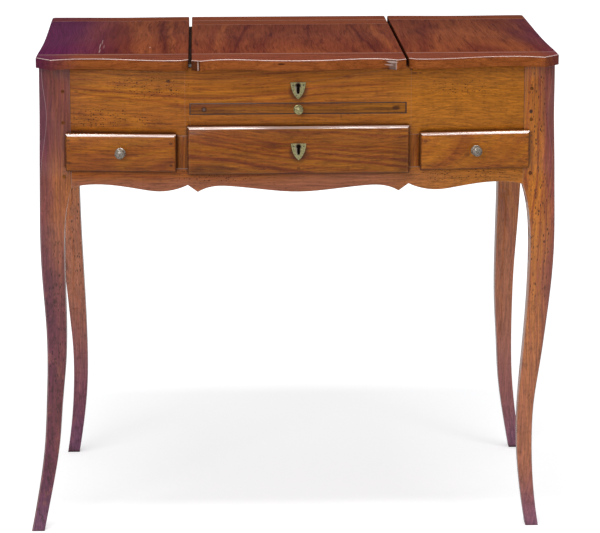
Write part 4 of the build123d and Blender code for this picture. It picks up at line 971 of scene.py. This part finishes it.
PIN_DOME = ((1.0, -0.2), (1.0, 0.1), (0.8, 0.35), (0.4, 0.45), (0.05, 0.48))
SCREW_HEAD = ((0.5, -0.6), (1.0, -0.1), (0.97, 0.12), (0.7, 0.2), (0.05, 0.22))
SCREW_SLOT = 0.5 * MM
SCREW_PLACES = (-0.3, 0.3)  # shares of a leaf's length, from its middle
FIRST_TURN, NEXT_TURN = 1.1, 0.7  # angles of the screws' slots, so that none line up
HINGE_LEAF = 100 * MM * MM  # a face at least this large is a hinge's leaf
LOCK_PLATE = 400 * MM * MM  # or the plate of a lock


def make_knob(node, radius, material):
    """A turned knob in the place and along the axis of its CAD node."""
    low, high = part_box(node)
    body = body_of_node(node)
    side = {"left_drawer": -1, "right_drawer": 1}.get(body, 0)
    axis = Vector((side * SIDE_SLOPE, -1, 0)).normalized()
    middle = (low + high) / 2
    projection = metal().knob_projection
    seat = Vector((middle.x, low.y, middle.z)) - axis * projection
    rings = [(SHANK_RADIUS, -SHANK_LENGTH), (SHANK_RADIUS, 0.0), (KNOB_SEAT, 0.0)]
    rings += [(share * radius, depth * projection) for share, depth in KNOB_SHAPE]
    keep(turned(node + "_turned", rings, seat, axis), material, body, "brass", (node,))


def keyhole(node):
    """The ovals round the bow and the slot of a plate's keyhole: its worn lip and its painted
    shade.
    """
    low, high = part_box(node)
    middle, height = (low.x + high.x) / 2, high.z - low.z
    return (((middle, high.z - height * BOW_DROP), (BOW_RADIUS, BOW_RADIUS)),
            ((middle, high.z - height * SLOT_DROP), SLOT_RADII))


def head(radius, shape):
    """The rings of a small head: its shape is in shares of the radius and in millimetres."""
    return [(radius * share, height * MM) for share, height in shape]


def make_escutcheon(node, material, pin_material):
    """A keyhole plate with a raised border and two pins near its upper corners."""
    low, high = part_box(node)
    piece = copy_of_node(node, node + "_plate")
    field = copy_of_node(node, "field")
    middle = Vector(((low.x + high.x) / 2, low.y, high.z - (high.z - low.z) * SLOT_DROP))
    inset = Matrix.Diagonal((FIELD_SHARE, 1.0, FIELD_SHARE, 1.0))
    forward = Vector((0, low.y - high.y + FIELD_DEPTH, 0))
    field.data.transform(Matrix.Translation(middle + forward) @ inset
                         @ Matrix.Translation(-middle))
    carve(piece, field)
    keep(piece, material, body_of_node(node), "brass", (node,))
    pins = [turned("pin", head(metal().pin_radius, PIN_DOME),
                   Vector((CASE_X + side * PIN_SPREAD, low.y + PIN_SINK, high.z - PIN_DROP)),
                   (0, -1, 0), 16)
            for side in (-1, 1)]
    keep(joined(node + "_pins", pins), pin_material, body_of_node(node), "iron")


def screw(centre, axis, turn):
    """A slotted screw head that stands a hair above its plate."""
    radius = metal().screw_radius
    piece = turned("screw", head(radius, SCREW_HEAD), (0, 0, 0), (0, 0, 1), 20)
    bpy.ops.object.select_all(action="DESELECT")
    bpy.ops.mesh.primitive_cube_add(size=1)
    slot = bpy.context.object
    slot.data.transform(Matrix.Diagonal((radius * 3, SCREW_SLOT, SCREW_SLOT, 1)))
    carve(piece, slot)
    spin = Matrix.Rotation(turn, 4, "Z")
    lean = Vector((0, 0, 1)).rotation_difference(Vector(axis)).to_matrix().to_4x4()
    piece.data.transform(Matrix.Translation(centre) @ lean @ spin)
    return piece


def screw_down(node, side, smallest, material):
    """Two screws through each flat face of a fitting that looks along side."""
    side = Vector(side)
    plate = copy_of_node(node, "plate")
    heads = []
    for polygon in plate.data.polygons:
        if polygon.normal.dot(side) < 0.99 or polygon.area < smallest:
            continue
        corners = [plate.data.vertices[index].co for index in polygon.vertices]
        low = Vector(map(min, zip(*corners)))
        high = Vector(map(max, zip(*corners)))
        run = high - low
        along = Vector([step if step == max(run) else 0.0 for step in run])
        for place in SCREW_PLACES:
            turn = FIRST_TURN + len(heads) * NEXT_TURN
            heads.append(screw((low + high) / 2 + along * place, side, turn))
    bpy.data.objects.remove(plate)
    keep(joined(node + "_screws", heads), material, body_of_node(node), "iron")


class DRESSING_OT_fittings(Operator):
    """Turn the knobs, and finish the plates, hinges and locks"""
    bl_idname = "dressing.fittings"
    bl_label = "Brass and iron"

    def execute(self, context):
        sizes = metal()
        brass = old_brass("old_brass", sizes.brass, 0.75)
        silvered = old_brass("silvered_brass", sizes.silver, 0.80)
        iron = forged_iron("forged_iron")
        make_knob("slide_knob", sizes.slide_knob_radius, brass)
        make_knob("left_drawer_knob", sizes.knob_radius, silvered)
        make_knob("right_drawer_knob", sizes.knob_radius, silvered)
        for node in ("lid_escutcheon", "drawer_escutcheon"):
            make_escutcheon(node, old_brass(node + "_brass", sizes.brass, 0.55, keyhole(node)),
                            iron)
        leaves = [lid + "_hinge_leaves" for lid in ("centre_lid", "left_flap", "right_flap")]
        dressed(["case_hinge_leaves", *leaves, "lid_strike_plate"], brass)
        screw_down("case_hinge_leaves", (0, 0, 1), HINGE_LEAF, iron)
        for leaf in leaves:
            screw_down(leaf, (0, 0, -1), HINGE_LEAF, iron)
        for lock in ("lid_lock_case", "drawer_lock_case"):
            screw_down(lock, (0, 1, 0), LOCK_PLATE, iron)
        dressed(["hinge_pins", "lid_lock_case", "drawer_lock_case", "lid_lock_bolt",
                 "drawer_lock_bolt"], iron)
        return {"FINISHED"}


# ---- Stage ----

SENSOR = 36.0  # width in millimetres
FLOOR_SIZE = 40.0
STRIP_LAMP = {"place": (0.0, -0.60, 2.2), "target": (CASE_X, -0.20, 0.65),
              "width": 2.2, "height": 0.25}
FRONT_LAMP = {"place": (-1.2, -2.9, 1.9), "target": (CASE_X, 0.0, 0.45),
              "width": 1.8, "height": 1.4}


def camera_matrix(place, turn):
    """Where the camera stands and how it is turned: by yaw, then pitch, then roll."""
    yaw, pitch, roll = turn
    across = Vector((cos(yaw), sin(yaw), 0))
    ahead = Vector((-sin(yaw) * cos(pitch), cos(yaw) * cos(pitch), sin(pitch)))
    up = Vector((sin(pitch) * sin(yaw), -sin(pitch) * cos(yaw), cos(pitch)))
    right = across * cos(roll) - up * sin(roll)
    top = across * sin(roll) + up * cos(roll)
    axes = Matrix((right, top, -ahead)).transposed().to_4x4()
    return Matrix.Translation(place) @ axes


def studio_floor_finish():
    """A matt pale floor that the camera sees a little brighter, so that it meets the white."""
    finish = Finish("studio_floor")
    ray = finish.node("ShaderNodeLightPath", {}, {}, "Is Camera Ray")
    matt = finish.node("ShaderNodeBsdfDiffuse", {}, {"Color": (*studio().floor, 1)})
    x, y, z = finish.place()
    far = ((x * x + y * y) ** 0.5).rise(0.4, 2.5)
    glow = finish.node("ShaderNodeEmission", {},
                       {"Color": (0.965, 0.98, 1, 1), "Strength": ray * (0.50 + far * 0.35)})
    both = finish.node("ShaderNodeAddShader", {}, {0: matt, 1: glow})
    finish.node("ShaderNodeOutputMaterial", {}, {0: both})
    return finish.material


def soft_lamp(name, power, place, target, width, height):
    """A rectangular lamp, aimed at a target."""
    data = bpy.data.lights.new(name, "AREA")
    data.shape = "RECTANGLE"
    data.size = width
    data.size_y = height
    data.energy = power
    lamp = bpy.data.objects.new(name, data)
    bpy.context.scene.collection.objects.link(lamp)
    lamp.location = place
    lamp.rotation_mode = "QUATERNION"
    lamp.rotation_quaternion = (Vector(target) - Vector(place)).to_track_quat("-Z", "Y")


def room_light():
    """Even light all round. The camera and the polish see it as white."""
    world = bpy.data.worlds.new("studio")
    world.use_nodes = True
    room = Nodes(world.node_tree)
    seen = room.node("ShaderNodeLightPath", {}, {}, "Is Camera Ray").math(
        "MAXIMUM", room.node("ShaderNodeLightPath", {}, {}, "Is Glossy Ray"))
    strength = room.node("ShaderNodeMapRange", {},
                         {"Value": seen, "To Min": studio().sky, "To Max": 1.0})
    back = room.node("ShaderNodeBackground", {}, {"Strength": strength})
    room.node("ShaderNodeOutputWorld", {}, {0: back})
    bpy.context.scene.world = world


class DRESSING_OT_stage(Operator):
    """Lay the floor, hang the lamps and place the camera"""
    bl_idname = "dressing.stage"
    bl_label = "Studio"

    def execute(self, context):
        bpy.ops.object.select_all(action="DESELECT")
        bpy.ops.mesh.primitive_plane_add(size=FLOOR_SIZE)
        floor = bpy.context.object
        floor.name = "studio_floor"
        floor.data.materials.append(studio_floor_finish())
        soft_lamp("strip_lamp", studio().strip, **STRIP_LAMP)
        soft_lamp("front_lamp", studio().key, **FRONT_LAMP)
        room_light()
        data = bpy.data.cameras.new("camera")
        data.lens = studio().lens
        data.sensor_width = SENSOR
        data.sensor_fit = "HORIZONTAL"
        camera = bpy.data.objects.new("camera", data)
        context.scene.collection.objects.link(camera)
        camera.matrix_world = camera_matrix(studio().camera_place, studio().camera_turn)
        context.scene.camera = camera
        context.scene.view_settings.view_transform = "Standard"
        return {"FINISHED"}


class DRESSING_PT_table(Panel):
    """The steps that dress the table, in order"""
    bl_label = "Dressing Table"
    bl_idname = "DRESSING_PT_table"
    bl_space_type = "VIEW_3D"
    bl_region_type = "UI"
    bl_category = "Dressing Table"

    def draw(self, context):
        for step in STEPS:
            self.layout.operator(step.bl_idname)
        for group in (wood(), metal(), studio()):
            column = self.layout.column()
            for name in group.__annotations__:
                column.prop(group, name)


STEPS = (DRESSING_OT_stage, DRESSING_OT_case, DRESSING_OT_legs, DRESSING_OT_drawers,
         DRESSING_OT_lids, DRESSING_OT_inside, DRESSING_OT_fittings)
GROUPS = {"dressing_wood": WoodFinish, "dressing_metal": MetalFinish,
          "dressing_studio": StudioSettings}


def register():
    for group in GROUPS.values():
        bpy.utils.register_class(group)
    for name, group in GROUPS.items():
        setattr(bpy.types.Scene, name, PointerProperty(type=group))
    for step in STEPS:
        bpy.utils.register_class(step)
    bpy.utils.register_class(DRESSING_PT_table)


def unregister():
    bpy.utils.unregister_class(DRESSING_PT_table)
    for step in reversed(STEPS):
        bpy.utils.unregister_class(step)
    for name in GROUPS:
        delattr(bpy.types.Scene, name)
    for group in reversed(list(GROUPS.values())):
        bpy.utils.unregister_class(group)


def main():
    register()
    for step in STEPS:
        area, action = step.bl_idname.split(".")
        getattr(getattr(bpy.ops, area), action)()


if __name__ == "__main__":
    main()
